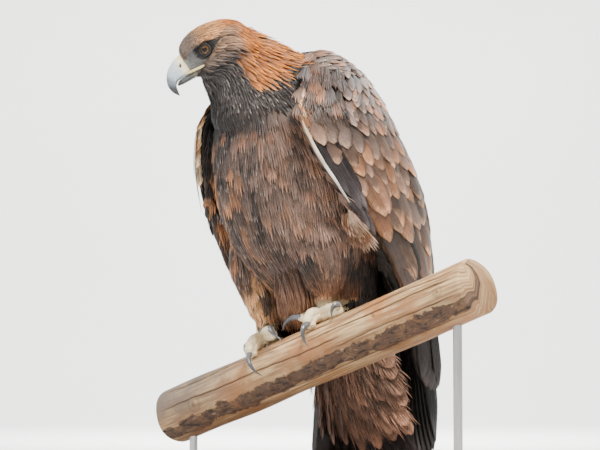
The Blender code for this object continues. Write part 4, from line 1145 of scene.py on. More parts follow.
def crowded(grid, where, key, p, gap):
    """Whether a chosen point lies nearer to p than the gap, in the cells round its own."""
    for beside in itertools.product(*((k - 1, k, k + 1) for k in key)):
        for j in grid.get(beside, ()):
            q = where[j]
            if (p[0] - q[0]) ** 2 + (p[1] - q[1]) ** 2 + (p[2] - q[2]) ** 2 < gap * gap:
                return True
    return False


def scattered(points, faces, spacing, keep, tries, draw):
    """Roots on a surface, no two nearer than the spacing there."""
    a, b, c = points[faces[:, 0]], points[faces[:, 1]], points[faces[:, 2]]
    area = np.linalg.norm(np.cross(b - a, c - a), axis=1)
    pick = draw.choice(len(faces), tries, p=area / area.sum())
    r = draw.uniform(size=(2, tries, 1))
    r = np.where(r.sum(0) > 1, 1 - r, r)
    where = a[pick] + r[0] * (b - a)[pick] + r[1] * (c - a)[pick]
    where = where[keep(where)]
    gap = spacing(where)
    cell = float(gap.max())
    grid, chosen = {}, []
    for i, (p, g) in enumerate(zip(where, gap)):
        key = tuple(int(v) for v in np.floor(p / cell))
        if not crowded(grid, where, key, p, g):
            grid.setdefault(key, []).append(i)
            chosen.append(i)
    return where[chosen]


def triangles_of(faces):
    faces = np.asarray(faces)
    return faces if faces.shape[1] == 3 else np.concatenate([faces[:, :3], faces[:, [0, 2, 3]]])


def surface(points, faces):
    """A tree for the nearest point, the triangles, and the smoothed way out at each."""
    triangles = triangles_of(faces)
    tree = BVHTree.FromPolygons([tuple(p) for p in points], triangles.tolist())
    outs = normals_of(points, triangles)
    return tree, triangles, unit(outs[triangles].mean(1))


def lie_of_coat(points):
    """The way feathers point on the head, neck and body."""
    forward, up, left = head_place(points)
    head = smooth(-6.0, -3.0, forward) * smooth(7.0, 5.5, np.sqrt(forward**2 + up**2 + left**2))
    head_way = unit(-HEAD_FORWARD + HEAD_UP * -0.28 - 0.45 * HEAD_UP * smooth(0.0, -3.0, up)[:, None])
    high = smooth(28.0, 36.0, points[:, 2])
    station, turn = neck_place(points)
    folded = folded_turn(turn)
    bow = neck_bow(station)
    dip = np.radians(20.0 + 24.0 * smooth(80.0, 5.0, folded) + 14.0 * smooth(0.0, -60.0, folded))
    neck_ways = np.stack([np.sin(bow) * np.cos(dip), np.cos(bow) * np.cos(dip), -np.sin(dip)], -1)
    body_way = np.array([0.0, 0.22, -1.0])
    outward = np.sign(points[:, 0]) * smooth(3.0, 9.0, np.abs(points[:, 0])) * 0.12
    body_ways = unit(body_way + stacked(outward, 0.0, 0.0))
    ways = lerp(body_ways, neck_ways, high)
    ways = unit(lerp(ways, head_way, head))
    rump = smooth(2.0, -3.0, points[:, 2]) * (points[:, 1] > 5)
    return unit(lerp(ways, np.array([0.0, 0.3, -1.0]), rump))


soft_finish = feather_finish("soft_plumage", roughness=0.62, streaks=1.5, sheen=0.06, shade=0.4)
hackle_finish = feather_finish("hackle_feather", roughness=0.6, streaks=1.7, sheen=0.06, shade=0.16)
firm_finish = feather_finish("firm_vanes", roughness=0.42, streaks=1.9, sheen=0.0, shade=0.3)
dark_finish = feather_finish("dark_vanes", roughness=0.34, streaks=1.2, sheen=0.0, shade=0.6, gloss=0.2)

body_tree, body_triangles, body_outs = surface(body_points, body_faces)

# The coat of the face and crown

face_points = face_rings.reshape(-1, 3)
face_quads = ring_faces(1, *face_rings.shape[:2])[0]
face_tree, face_triangles, face_outs = surface(face_points, face_quads)


def eye_distance(points):
    far = []
    for side in SIDES:
        depth, radial = beside_eye(points, side)
        far.append(np.where(depth > -0.8, radial, 9.0))
    return np.minimum(*far)


def bare_face(points):
    """From 0 on the feathered head to 1 on the bare skin of lores and lids."""
    forward, up, left = head_place(points)
    bare = np.maximum(within(forward, up, LORE_SHAPE), within(forward, up, MASK_SHAPE))
    return smooth(-0.1, 0.1, bare) * (np.abs(left) > 0.6)


def head_spacing(points):
    forward = head_place(points)[0]
    return 0.13 + 0.13 * smooth(3.0, -1.0, forward) + 0.1 * smooth(-1.0, -5.0, forward)


def inside_body(points):
    """How deep points lie under the body's skin."""
    found = [body_tree.find_nearest(Vector(p)) for p in points]
    on = np.array([f[0] for f in found])
    return np.einsum("nk,nk->n", on - points, body_outs[[f[2] for f in found]])


def head_keep(points):
    return (bare_face(points) < 0.5) & (head_place(points)[0] < 3.45) & (inside_body(points) < 0.1)


head_roots = scattered(face_points, face_triangles, head_spacing, head_keep, tries=42000, draw=rng)
forward, up, left = head_place(head_roots)
long = 0.95 + 0.8 * smooth(2.6, -1.5, forward) + 1.1 * smooth(-1.5, -5.0, forward)
long = long * rng.uniform(0.85, 1.15, len(long))
lift = 0.14 + 0.07 * rng.uniform(size=len(long))
tint, edge = plumage(head_roots, rng)
coat = Coat("coat_head")
BACK_RISE = 0.23
for chosen, tree, outs, rise in (
    (forward > -2.2, face_tree, face_outs, 0.0), (forward <= -2.2, body_tree, body_outs, BACK_RISE)
):
    spines = walk(
        tree, outs, head_roots[chosen], lie_of_coat, long[chosen], lift[chosen] + 1.4 * rise, steps=6,
        sink=0.05 - rise, curve=0.06
    )
    wide = 0.28 + 0.16 * smooth(2.0, -3.0, forward[chosen])
    coat.slivers(spines, wide, lance_width, tint[chosen], edge[chosen], high=0.35)
bristle_roots = scattered(
    face_points, face_triangles, lambda p: np.full(len(p), 0.16),
    lambda p: (bare_face(p) > 0.3) & (eye_distance(p) > 1.05) & (head_place(p)[0] < 3.4), tries=40000,
    draw=rng,
)
tint, edge = plumage(bristle_roots, rng)
long = rng.uniform(0.35, 0.7, len(bristle_roots))
spines = walk(face_tree, face_outs, bristle_roots, lie_of_coat, long, 0.12, steps=4, sink=0.03, curve=0.05)
coat.slivers(spines, 0.09, lance_width, tint * 0.9, edge, rings=4, high=0.5)
brow_points = np.concatenate([brow_rings[s].reshape(-1, 3) for s in SIDES])
one_brow = ring_faces(1, *brow_rings[1].shape[:2])[0]
brow_quads = np.concatenate([one_brow, one_brow + brow_rings[1][..., 0].size])
brow_tree, brow_triangles, brow_outs = surface(brow_points, brow_quads)
brow_centre_out = unit(brow_points[brow_triangles].mean(1) - HEAD_PLACE)
brow_outs = np.where(
    (np.einsum("nk,nk->n", brow_outs, brow_centre_out) < -0.4)[:, None], -brow_outs, brow_outs
)
brow_roots = scattered(
    brow_points, brow_triangles, lambda p: np.full(len(p), 0.15),
    lambda p: head_place(p)[1] > 0.58, tries=6000, draw=rng,
)
tint, edge = plumage(brow_roots + HEAD_UP * 0.9, rng)
long = rng.uniform(0.5, 0.8, len(brow_roots))
spines = walk(
    brow_tree, brow_outs, brow_roots, lambda p: np.tile(-HEAD_FORWARD, (len(p), 1)), long, 0.07, steps=4,
    sink=0.03,
    curve=0.03
)
coat.slivers(spines, 0.22, lance_width, tint, edge, rings=5, high=0.35)
coat.write(soft_finish, "golden_hackles")

# The coat of the neck, body and legs

# The wings' surfaces above the log's top
GUARD_FROM = 50
guard_points = [WINGS[side].points[:, GUARD_FROM:] for side in SIDES]
rows, columns = guard_points[0].shape[:2]
guard_quads = (np.arange(rows - 1)[:, None] * columns + np.arange(columns - 1)[None]).reshape(-1, 1)
guard_quads = guard_quads + np.array([[0, 1, columns + 1, columns]])
wing_guard = BVHTree.FromPolygons(
    [tuple(p) for p in np.concatenate([points.reshape(-1, 3) for points in guard_points])],
    np.concatenate([guard_quads, guard_quads + rows * columns]).tolist(),
)


def near_wing(points):
    """How far points lie from the wings' outer surfaces."""
    return np.array([wing_guard.find_nearest(Vector(p))[3] for p in points])


def body_keep(points):
    return head_depth(points) > 0.96


def body_spacing(points):
    shanks = smooth(6.0, 2.0, leg_height(points)) * (points[:, 1] < 5)
    return 0.5 + 0.75 * smooth(36.0, 30.0, points[:, 2]) - 0.8 * shanks


body_roots = scattered(body_points, body_triangles, body_spacing, body_keep, tries=110000, draw=rng)
by_wing = near_wing(body_roots) <= 0.95
mantle_roots = body_roots[by_wing & (body_roots[:, 2] > 39.0)][::2]
body_roots = body_roots[~by_wing]
clear = near_wing(body_roots + 3.5 * lie_of_coat(body_roots)) > 0.9
body_roots = body_roots[clear | (body_roots[:, 2] > 36)]
station, turn = neck_place(body_roots)
is_neck = body_roots[:, 2] > 33.0
folded = folded_turn(turn)
is_hackle = is_neck & (in_hackles(station, folded) > 0.5)
is_throat = is_neck & ~is_hackle
is_shank = (leg_height(body_roots) < 3.6) & (body_roots[:, 1] < 5) & ~is_neck
is_leg = (leg_height(body_roots) < 13.0) & (np.abs(body_roots[:, 0]) > 2.6) & (body_roots[:, 1] < 6)
is_leg &= ~is_shank
is_body = ~(is_neck | is_shank | is_leg)
groups = (
    ("coat_hackles", is_hackle, 3.8, 0.72, 0.34, 3, "golden_hackles"),
    ("coat_throat", is_throat, 2.8, 0.8, 0.32, 3, "brown_plumage"),
    ("coat_breast", is_body & (body_roots[:, 2] > 23), 4.4, 2.1, 0.4, 7, "brown_plumage"),
    ("coat_body", is_body & (body_roots[:, 2] <= 23), 4.8, 2.3, 0.4, 7, "brown_plumage"),
    ("coat_legs", is_leg, 4.6, 1.8, 0.4, 7, "brown_plumage"),
    ("coat_shanks", is_shank, 1.3, 0.5, 0.12, 3, "brown_plumage"),
)
for name, chosen, length, width, lift, barbs, slot_name in groups:
    roots = body_roots[chosen]
    count = len(roots)
    tint, edge = plumage(roots, rng)
    long = length * rng.uniform(0.82, 1.15, count)
    if name == "coat_legs":
        long = np.minimum(long, np.maximum(leg_height(roots) - 1.6, 1.0))
    wide = width * rng.uniform(0.85, 1.15, count)
    lifts = lift * rng.uniform(0.7, 1.3, count)
    if name == "coat_hackles":
        nape = smooth(35.0, 70.0, folded[chosen]) * smooth(1.0, 0.4, station[chosen])
        lifts = lifts * (0.7 + 0.3 * smooth(0.1, 1.2, station[chosen])) + 0.3 * nape
        long = long * (0.8 + 0.2 * smooth(0.1, 1.2, station[chosen]))
    spines = walk(body_tree, body_outs, roots, lie_of_coat, long, lifts, curve=0.25 if barbs > 3 else 0.12)
    coat = Coat(name)
    if name == "coat_hackles":
        coat.vanes(spines, wide, lance_width, tint, edge, camber=0.3, fray=0.04)
    else:
        coat.plumes(spines, wide, tint, edge, barbs=barbs)
    coat.write(hackle_finish if name == "coat_hackles" else soft_finish, slot_name)

# The mantle's feathers cover the top of the back, between the hackles and the wings
count = len(mantle_roots)
shade = rng.uniform(0.6, 1.4, (count, 1))
tint = lerp(MANTLE, RUFOUS, 0.5 * (rng.uniform(size=count) > 0.7)) * shade
edge = MANTLE_EDGE * (0.5 + 0.5 * shade)
long = 3.4 * rng.uniform(0.85, 1.15, count)
spines = walk(
    body_tree, body_outs, mantle_roots, lie_of_coat, long, 0.62 * rng.uniform(0.8, 1.3, count), steps=8,
    sink=0.1, curve=0.2
)
coat = Coat("coat_mantle")
coat.vanes(
    spines, 1.5 * rng.uniform(0.85, 1.15, count), round_width, tint, edge, rings=10, camber=0.15, tilt=0.04
)
coat.write(soft_finish, "brown_plumage")

# The wings, tier by tier


def wing_spines(side, top, across, length, lift, drift=0.0, sink=0.12, steps=10):
    """Spines down a wing's surface. Drift moves the tip across, and lift is its height there."""
    wing = WINGS[side]
    v = np.linspace(0, 1, steps)[None]
    z = top[:, None] - length[:, None] * v
    t = across[:, None] + np.broadcast_to(drift, across.shape)[:, None] * v
    out = wing.read(wing.normals, z, t)
    where = wing.read(wing.points, z, t)
    over = wing.read(wing.over, z, t)
    rise = -sink + (sink + np.broadcast_to(lift, across.shape)[:, None]) * v**0.9
    return Spines(where + out * rise[..., None], over, out)


def wing_rows(side, tops, gap, length, width, first=0.0, last=1.0):
    """Roots of rows of coverts: heights, places across, and sizes."""
    wing = WINGS[side]
    rows = []
    for k, top in enumerate(tops):
        t = np.linspace(first, last, 200)
        arc = np.cumsum(wing.read(wing.stretch, np.full(200, top), t)[:, 0]) * (t[1] - t[0])
        count = max(2, int(arc[-1] / gap))
        even = (np.arange(count) + 0.25 + 0.5 * (k % 2)) / count * arc[-1]
        at = even + rng.normal(size=count) * gap * 0.14
        across = np.interp(at, arc, t)
        rows.append(np.stack([
            top + rng.normal(size=count) * gap * 0.22, across,
            length * rng.uniform(0.88, 1.12, count), width * rng.uniform(0.84, 1.12, count),
        ]))
    return np.concatenate(rows, 1)


# Level ways on the bird's left front, out from it and across it
TO_CAMERA, TO_RIGHT = np.array([1.0, -1.0, 0.0]) / math.sqrt(2), np.array([1.0, 1.0, 0.0]) / math.sqrt(2)
WING_BROWN, WING_GREY = srgb(116, 86, 68), srgb(112, 102, 100)
WING_EDGE = srgb(218, 168, 124)
WING_DARK, DARK_EDGE = srgb(38, 34, 35), srgb(104, 98, 98)
FLIGHT, FLIGHT_EDGE = srgb(38, 32, 31), srgb(130, 108, 92)


def wing_paint(z, t, roll):
    grey = smooth(29.0, 36.0, z) * smooth(0.7, 0.2, t)
    tint = lerp(WING_BROWN, WING_GREY, np.clip(grey * 0.8 + 0.6 * (roll[0] - 0.4), 0, 1))
    edge = lerp(WING_EDGE, MANTLE_EDGE, 0.75 * smooth(25.0, 34.0, z))
    tint = lerp(tint, RUFOUS * 1.1, 0.7 * smooth(0.6, 0.95, roll[1]))
    tint = lerp(tint, BREAST * 0.6, 0.85 * smooth(0.45, 0.15, roll[1]))
    edge = lerp(edge, tint * 1.3, 0.2 + 0.5 * roll[0])
    low = smooth(9.0, 3.5, z)
    tint, edge = painted(tint, edge, FLIGHT, FLIGHT_EDGE, low)
    worn = (1.0 + 1.0 * (roll[2] - 0.5))[:, None]
    return tint * worn, edge * (1 + (worn - 1) * 0.5)


for side, word in SIDE_WORDS:
    tiers = (
        (np.arange(42.0, 31.5, -1.4), 1.35, 3.4, 2.3, 0.0, 1.0, 0.26),
        (np.arange(31.4, 25.0, -2.1), 2.2, 5.2, 3.5, 0.03, 1.0, 0.3),
        (np.arange(25.4, 19.0, -2.6), 2.6, 7.4, 4.4, 0.17, 0.98, 0.36),
        (np.array([18.6, 15.4]), 2.1, 13.0, 3.5, 0.19, 0.97, 0.36),
    )
    coat = Coat(f"wing_{word}_covert_feathers")
    for tops, gap, length, width, first, last, lift in tiers:
        top, across, long, wide = wing_rows(side, tops, gap, length, width, first, last)
        roll = rng.uniform(size=(3, len(top)))
        tint, edge = wing_paint(top, across, roll)
        lifts = lift * rng.uniform(0.5, 1.5, len(top))
        drifts = 0.014 * rng.normal(size=len(top))
        tips, rings = (lance_end, 18) if length > 10 else (round_width, 12)
        if length > 10:
            tint, edge = tint * 0.62, edge * 0.8
        # Loose feathers on the shoulder's front, firm ones elsewhere
        loose = (across < 0.3) & (length < 4)
        if loose.any():
            spines = wing_spines(
                side, top[loose], across[loose], long[loose], lift=lifts[loose], drift=drifts[loose]
            )
            coat.plumes(spines, wide[loose], tint[loose], edge[loose], barbs=9, loose=0.05)
        firm = ~loose
        spines = wing_spines(
            side, top[firm], across[firm], long[firm], lift=lifts[firm], drift=drifts[firm]
        )
        wide = wide * (0.85 if length < 4 else 1.0)
        coat.vanes(
            spines, wide[firm], tips, tint[firm], edge[firm], rings=rings, camber=0.1,
            tilt=0.05 + 0.05 * roll[0, firm], fray=0.045
        )
    coat.write(firm_finish, "brown_plumage", f"wing_{word}_shoulder", f"wing_{word}_coverts")

    # The wing's bend, mottled cream and orange, then one long white edge below it, a painted highlight along
    # the wing's leading edge
    coat = Coat(f"wing_{word}_edge_feathers")
    top = np.repeat(np.arange(36.0, 29.5, -0.7), 3)
    count = len(top)
    across = 0.002 + 0.03 * rng.uniform(size=count)
    tint = lerp(ORANGE * 0.8, CREAM * 0.9, rng.uniform(size=count) ** 2)
    tint = tint * rng.uniform(0.5, 1.0, (count, 1))
    spines = wing_spines(side, top, across, rng.uniform(1.8, 2.6, count), lift=0.24)
    coat.vanes(spines, 0.75, round_width, tint, tint * 1.3, rings=7, thick=0.04, camber=0.2)
    # Three pale vanes along the leading edge: painted highlight
    spines = wing_spines(
        side, np.array([30.2, 27.6, 25.2]), np.full(3, 0.006), np.array([6.4, 7.0, 6.6]), lift=0.4,
        drift=0.004,
        steps=20
    )
    spines.out = unit(0.2 * spines.out + (side, -1.0, 0.0))
    spines.over = unit(np.cross(spines.out, UP))
    spines.points = spines.points + 0.45 * spines.out
    pale = np.stack([srgb(232, 214, 190), srgb(236, 230, 222), srgb(196, 188, 182)])
    coat.vanes(
        spines, np.array([0.5, 0.56, 0.44]), lance_end, pale, pale * 0.9, rings=20, camber=0.3, fray=0.03
    )
    # The alula and the first primary coverts behind it, long, narrow, smooth and dark
    for row, (first, lengths) in enumerate(((31.2, (11.6, 13.6, 12.4, 12.6, 9.8)), (23.5, (8.5, 9.0)))):
        count = len(lengths)
        k = np.arange(count)
        spines = wing_spines(
            side, first - 0.3 * k, 0.04 + 0.027 * k, np.array(lengths), lift=0.6 - 0.16 * row - 0.03 * k,
            drift=0.006,
            steps=16,
        )
        shade = WING_DARK * rng.uniform(0.7, 3.2, (count, 1))
        coat.vanes(spines, 1.85, lance_end, shade, shade * 2.4, rings=16, camber=0.1, tilt=0.14, fray=0.02)
    # Pale loose feathers of the flank come out over the left wing's edge, below the alula
    if side > 0:
        count = 26
        wing = WINGS[side]
        top = rng.uniform(14.6, 17.8, count)
        edge_point = wing.read(wing.points, top, np.zeros(count))
        roots = edge_point + TO_CAMERA * rng.uniform(0.3, 1.2, (count, 1))
        roots = roots - TO_RIGHT * rng.uniform(-0.2, 1.8, (count, 1))
        swing = rng.uniform(-0.15, 0.55, (count, 1))
        down = unit(swing * TO_RIGHT - UP + 0.25 * TO_CAMERA)
        v = np.linspace(0, 1, 10)[None, :, None]
        long = rng.uniform(2.6, 4.2, (count, 1, 1))
        middle = roots[:, None] + down[:, None] * long * v + (0.6 * TO_RIGHT - 0.5 * TO_CAMERA) * v**2
        out = np.broadcast_to(unit(TO_CAMERA + 0.4 * UP), middle.shape)
        over = np.cross(out, np.broadcast_to(down[:, None], middle.shape))
        tint = lerp(RUFOUS * 0.5, BUFF * 0.9, rng.uniform(size=count))
        coat.plumes(
            Spines(middle, over, out), 1.5, tint * 0.8, tint * 1.3, barbs=9, rings=8, spread=1.1, loose=0.25
        )
    if side < 0:
        # The right wing's bend shows pale orange in front, partly its own colour and partly painted sunlight
        top = np.repeat(np.arange(33.0, 24.5, -0.8), 2)
        count = len(top)
        across = 0.002 + 0.012 * rng.uniform(size=count)
        spines = wing_spines(side, top, across, rng.uniform(2.2, 3.0, count), lift=0.3)
        spines.out = unit(0.35 * spines.out + FRONT)
        spines.over = unit(np.cross(spines.out, UP))
        pale = lerp(LIT_PALE_ORANGE, CREAM, rng.uniform(size=count))
        pale = pale * rng.choice([0.45, 0.9, 1.1], (count, 1))
        coat.vanes(spines, 2.0, round_width, pale, pale * 1.3, rings=8, thick=0.04, camber=0.2, fray=0.08)
    coat.write(dark_finish, "dark_flight_feathers")

    # Secondaries and tertials
    coat = Coat(f"wing_{word}_secondary_feathers")
    tips = (-7.6, -8.6, -9.1, -9.1, -8.8, -8.4, -7.9, -7.3, -6.6, -5.8, -4.9, -4.0, -3.4)
    count = len(tips)
    across = 0.2 + 0.74 * np.arange(count) / (count - 1)
    top = np.full(count, 7.0)
    roll = rng.uniform(size=(3, count))
    tint, edge = wing_paint(top - 4, across, roll)
    tint = lerp(tint, WING_GREY, 0.5) * (0.15 + 0.25 * smooth(0.1, 0.7, across))[:, None]
    # Edges paler towards the wing's front: painted highlight
    edge = tint * (1.2 + 1.4 * smooth(0.45, 0.2, across))[:, None]
    spines = wing_spines(
        side, top, across, top - np.array(tips), lift=-0.35 + 0.05 * (np.arange(count) % 3),
        drift=-0.03 * across, sink=0.5,
        steps=18
    )
    coat.vanes(spines, 3.2, lance_end, tint, edge, rings=22, thick=0.06, camber=0.05, tilt=0.1, fray=0.012)
    coat.write(dark_finish, "dark_flight_feathers", f"wing_{word}_secondaries")

    coat = Coat(f"wing_{word}_primary_feathers")
    tips = np.array([-15.0, -17.2, -18.4, -19.2, -19.6, -19.8, -19.4, -18.4, -17.0])
    count = len(tips)
    k = np.arange(count)
    top = 12.5 - 0.6 * k
    spines = wing_spines(
        side, top, 0.05 + 0.014 * k, top - tips, lift=-2.3 + 0.16 * k, drift=0.052 * k - 0.05, sink=2.3,
        steps=20
    )
    tint = WING_DARK * rng.uniform(0.1, 0.3, (count, 1))
    edge = DARK_EDGE * rng.uniform(0.1, 0.6, (count, 1))
    coat.vanes(spines, 2.9, lance_end, tint, edge, rings=24, thick=0.07, camber=0.05, tilt=0.02, fray=0.01)
    coat.write(dark_finish, "dark_flight_feathers", f"wing_{word}_primaries")

# The tail and its coverts

TAIL_LEAN = math.radians(16.0)


def fan_spines(roots, lean, swing, length, depth=0.0, steps=12):
    """Spines that hang in a plane that leans back, swung sideways, and set forward by depth."""
    lean, depth = np.full(swing.shape, lean), np.full(swing.shape, depth)
    down = np.stack([np.sin(swing), np.sin(lean) * np.cos(swing), -np.cos(lean) * np.cos(swing)], -1)
    out = np.stack([np.zeros_like(lean), np.cos(lean), np.sin(lean)], -1)
    v = np.linspace(0, 1, steps)[None, :, None]
    middle = roots[:, None] + down[:, None] * length[:, None, None] * v - out[:, None] * depth[:, None, None]
    over = np.cross(out, down)
    return Spines(middle, np.repeat(over[:, None], steps, 1), np.repeat(out[:, None], steps, 1))


coat = Coat("tail_feathers_fine")
place = np.arange(12) - 5.5
rank = np.abs(place) - 0.5
count = len(place)
roots = stacked(0.52 * place, 11.9, -2.935)
tint = srgb(40, 34, 33) * rng.uniform(0.75, 1.1, (count, 1))
spines = fan_spines(
    roots, TAIL_LEAN, np.radians(3.6 * place + 0.12 * place**2 * (place > 0)), 21.5 - 0.18 * rank**1.5,
    depth=0.2 * rank + np.where(place > 0, 0.0, -0.1)
)
coat.vanes(spines, 4.6, long_width, tint, tint * 1.8, rings=24, thick=0.08, camber=0.04, fray=0.008)
coat.write(dark_finish, "dark_flight_feathers", "tail_feathers")

# Loose belly feathers hang between the legs, down to the log
coat = Coat("coat_vent")
for z, y, length in (
    (9.5, -4.9, 8.0), (8.2, -3.9, 7.4), (7.0, -2.6, 6.8), (5.6, -0.7, 6.0), (4.6, 1.0, 5.4)
):
    x = np.linspace(max(-3.4, -3.1 - y), 5.6, 11) + 0.3 * rng.normal(size=11)
    roots = np.stack([x, y + 0.03 * x**2, z + 0.3 * rng.normal(size=11)], -1)
    spines = fan_spines(
        roots, math.radians(17.0), np.radians(-1.5 * x), length * rng.uniform(0.85, 1.05, 11)
    )
    tint, edge = plumage(roots, rng)
    coat.plumes(
        spines, 2.4, lerp(tint, RUFOUS, 0.4), lerp(edge, ORANGE, 0.4), barbs=11, rings=9, loose=0.06
    )
coat.write(soft_finish, "brown_plumage")

# Rows of coverts: height, count, how they spread, length, width, how far behind, and lean
UNDERTAIL_ROWS = (
    (-0.5, 8, 7.5, 7.5, 3.8, 6.3, 15.0), (-2.2, 8, 8.0, 8.0, 3.8, 6.6, 15.5),
    (-4.0, 8, 8.5, 8.6, 3.8, 7.0, 17.0), (-5.8, 8, 9.0, 9.2, 3.8, 7.6, 19.0),
    (-7.4, 7, 9.5, 9.8, 3.8, 8.2, 21.0), (-8.8, 7, 10.0, 10.4, 3.8, 8.9, 23.0),
)
UPPERTAIL_ROWS = (
    (-2.3, 5, 6.0, 11.0, 3.6, 13.5, 16.0), (-2.0, 5, 6.5, 8.5, 3.4, 13.8, 16.0),
    (-1.0, 5, 6.5, 7.0, 3.4, 14.0, 16.0),
)
for name, rows in (("undertail_feathers", UNDERTAIL_ROWS), ("uppertail_feathers", UPPERTAIL_ROWS)):
    coat = Coat(name)
    under = name.startswith("under")
    gap, bow, aside = (1.75, 0.25, 1.7) if under else (1.45, -0.12, 0.0)
    for z, count, fan, length, width, y, lean in rows:
        place = np.arange(count) - (count - 1) / 2
        roots = stacked(place * gap + aside, y + bow * place**2, z)
        spines = fan_spines(
            roots, math.radians(lean), np.radians(fan * place + 3.0 * aside),
            length - 0.4 * np.abs(place) + 0.3 * rng.normal(size=count), depth=0.06 * np.abs(place),
        )
        if under:
            # The outer feathers turn to the side, so that the tuft is round
            facing = np.radians(15.0 * place)[:, None, None]
            down = np.gradient(spines.points, axis=1)
            spines.out = unit(spines.out * np.cos(facing) - np.array([1.0, 0.0, 0.0]) * np.sin(facing))
            spines.over = unit(np.cross(spines.out, down))
        tint, edge = plumage(roots - (0, 0, 3), rng)
        tint = tint * rng.uniform(0.55, 1.4, (count, 1))
        coat.vanes(
            spines, 0.72 * width, soft_width, tint, tint * 1.1, rings=16, thick=0.03, camber=0.03,
            tilt=0.02, fray=0.06
        )
        spines.points = spines.points + spines.out * (-0.2 if under else 0.2)
        coat.plumes(spines, 1.2 * width, tint, tint * 1.35, barbs=21, rings=9)
    coat.write(soft_finish, "brown_plumage", "undertail_coverts" if under else "uppertail_coverts")

# Eyes


def eye_form(side):
    axis, across, rise = eye_frame(side)
    polar = np.linspace(0.0, math.pi, 40)[1:-1, None]
    turn = around(56)[None]
    bulge = EYE_RADIUS * (1 + 0.05 * np.exp(-((polar / 0.55) ** 2)))
    where = eye_centre(side) + (
        axis * (bulge * np.cos(polar))[..., None]
        + across * (EYE_RADIUS * np.sin(polar) * np.cos(turn))[..., None]
        + rise * (EYE_RADIUS * np.sin(polar) * np.sin(turn))[..., None]
    )
    across = 0.5 * np.sin(polar) * np.cos(turn) * (polar < 1.57)
    uv = stacked(0.5 + across, 0.5 + 0.5 * np.sin(polar) * np.sin(turn))
    return where, uv


def eye_finish():
    f = Finish("brown_eye_fine")
    spot = f.add("Mapping", {"Vector": f.add("UVMap", uv_map="Eye")[0], "Location": (-0.5, -0.5, 0.0)})[0]
    split = f.add("SeparateXYZ", {0: spot})
    radius = f.add("VectorMath", {0: spot}, operation="LENGTH")["Value"]
    turn = f.maths("ARCTAN2", split[1], split[0])
    rays = f.noise(f.add("CombineXYZ", {0: f.times(turn, 5.0), 1: f.times(radius, 6.0)})[0], 2.0, 3.0, 0.7)
    iris = f.mix(f.step(rays, 0.3, 0.7), srgb(44, 32, 22), srgb(104, 76, 46))
    iris = f.mix(f.step(radius, 0.25, 0.34), iris, srgb(46, 34, 26))
    colour = f.mix(f.step(radius, 0.17, 0.185), (0.004, 0.004, 0.005), iris)
    colour = f.mix(f.step(radius, 0.335, 0.36), colour, (0.01, 0.01, 0.01))
    return f.done(
        colour, 0.06, f.bump(rays, 0.05, 0.0002), Coat_Weight=0.12, Coat_Roughness=0.02,
        Specular_IOR_Level=0.22
    )


eye_material = eye_finish()
for side, word in SIDE_WORDS:
    where, uv = eye_form(side)
    sides, caps = ring_faces(1, *where.shape[:2])
    eye = mesh_object(f"eyeball_{word}", where.reshape(-1, 3), [sides, caps], uv={"Eye": uv.reshape(-1, 2)})
    eye.data.materials.append(eye_material)
    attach(eye, "root")
    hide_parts(f"eye_{word}")


def tube_rings(path, radii, sides, shape_of=None):
    """Rings of a tapering tube, each turned as little as can be from the one before."""
    way = unit(np.gradient(path, axis=0))
    guide = UP if abs(way[0, 2]) < 0.9 else np.array([1.0, 0.0, 0.0])
    rings = []
    a = around(sides)[:, None]
    for point, ahead, radius in zip(path, way, radii):
        first = unit(np.cross(ahead, guide))
        second = unit(np.cross(first, ahead))
        guide = second
        swell = 1.0 if shape_of is None else shape_of(a)
        rings.append(point + radius * swell * (np.cos(a) * first + np.sin(a) * second))
    return np.array(rings)


# The bill

CULMEN = (
    (3.55, 1.3), (4.6, 1.18), (5.6, 0.78), (6.5, 0.15), (7.2, -0.7), (7.62, -1.8), (7.5, -2.95),
    (6.93, -3.98)
)
TOMIUM = (
    (3.55, -1.93), (4.4, -2.0), (5.2, -1.92), (5.9, -1.95), (6.3, -2.2), (6.55, -2.6), (6.68, -3.1),
    (6.85, -3.93)
)
BILL_WIDTH = (1.28, 1.18, 1.05, 0.9, 0.75, 0.55, 0.32, 0.05)
JAW = (
    (0.9, -2.2, -3.15, 1.5), (2.0, -2.12, -3.05, 1.32), (3.5, -2.04, -2.92, 1.1), (4.8, -2.03, -2.84, 0.86),
    (5.7, -2.01, -2.74, 0.55), (6.25, -2.3, -2.62, 0.22),
)
NOSTRIL = (4.42, -0.32)


def nostril_pit(forward, up):
    """How deep in the nostril, a slanted slot in each side of the cere, and how far from its middle."""
    x, y = forward - NOSTRIL[0], up - NOSTRIL[1]
    far = np.hypot((0.8 * x + 0.6 * y) / 0.15, (0.8 * y - 0.6 * x) / 0.32)
    return np.exp(-(far**4)), far


def bill_form(first, last, levels, grow=0.0, sides=160):
    station = np.linspace(first, last, levels)
    keys = np.arange(len(CULMEN))
    ridge, edge = cubic(keys, CULMEN, station), cubic(keys, TOMIUM, station)
    wide = cubic(keys, BILL_WIDTH, station) + grow
    rise = ridge - edge
    span = np.linalg.norm(rise, axis=1)
    rise = rise / span[:, None]
    a = around(sides)[None]
    s = np.sin(a)
    rim = 0.12
    height = span[:, None] * np.where(s > 0, rim + (1 - rim) * s, rim * (1 + s)) + grow * s
    out = wide[:, None] * np.sign(np.cos(a)) * np.abs(np.cos(a)) ** 0.8
    forward = edge[:, 0, None] + rise[:, 0, None] * height
    up = edge[:, 1, None] + rise[:, 1, None] * height
    pit, far = nostril_pit(forward, up)
    out = out * (1 - 0.4 * pit + 0.03 * np.exp(-(((far - 1.6) / 0.4) ** 2)))
    return on_head(forward, up, out), stacked(station[:, None] / 7, (s + 1) / 2)


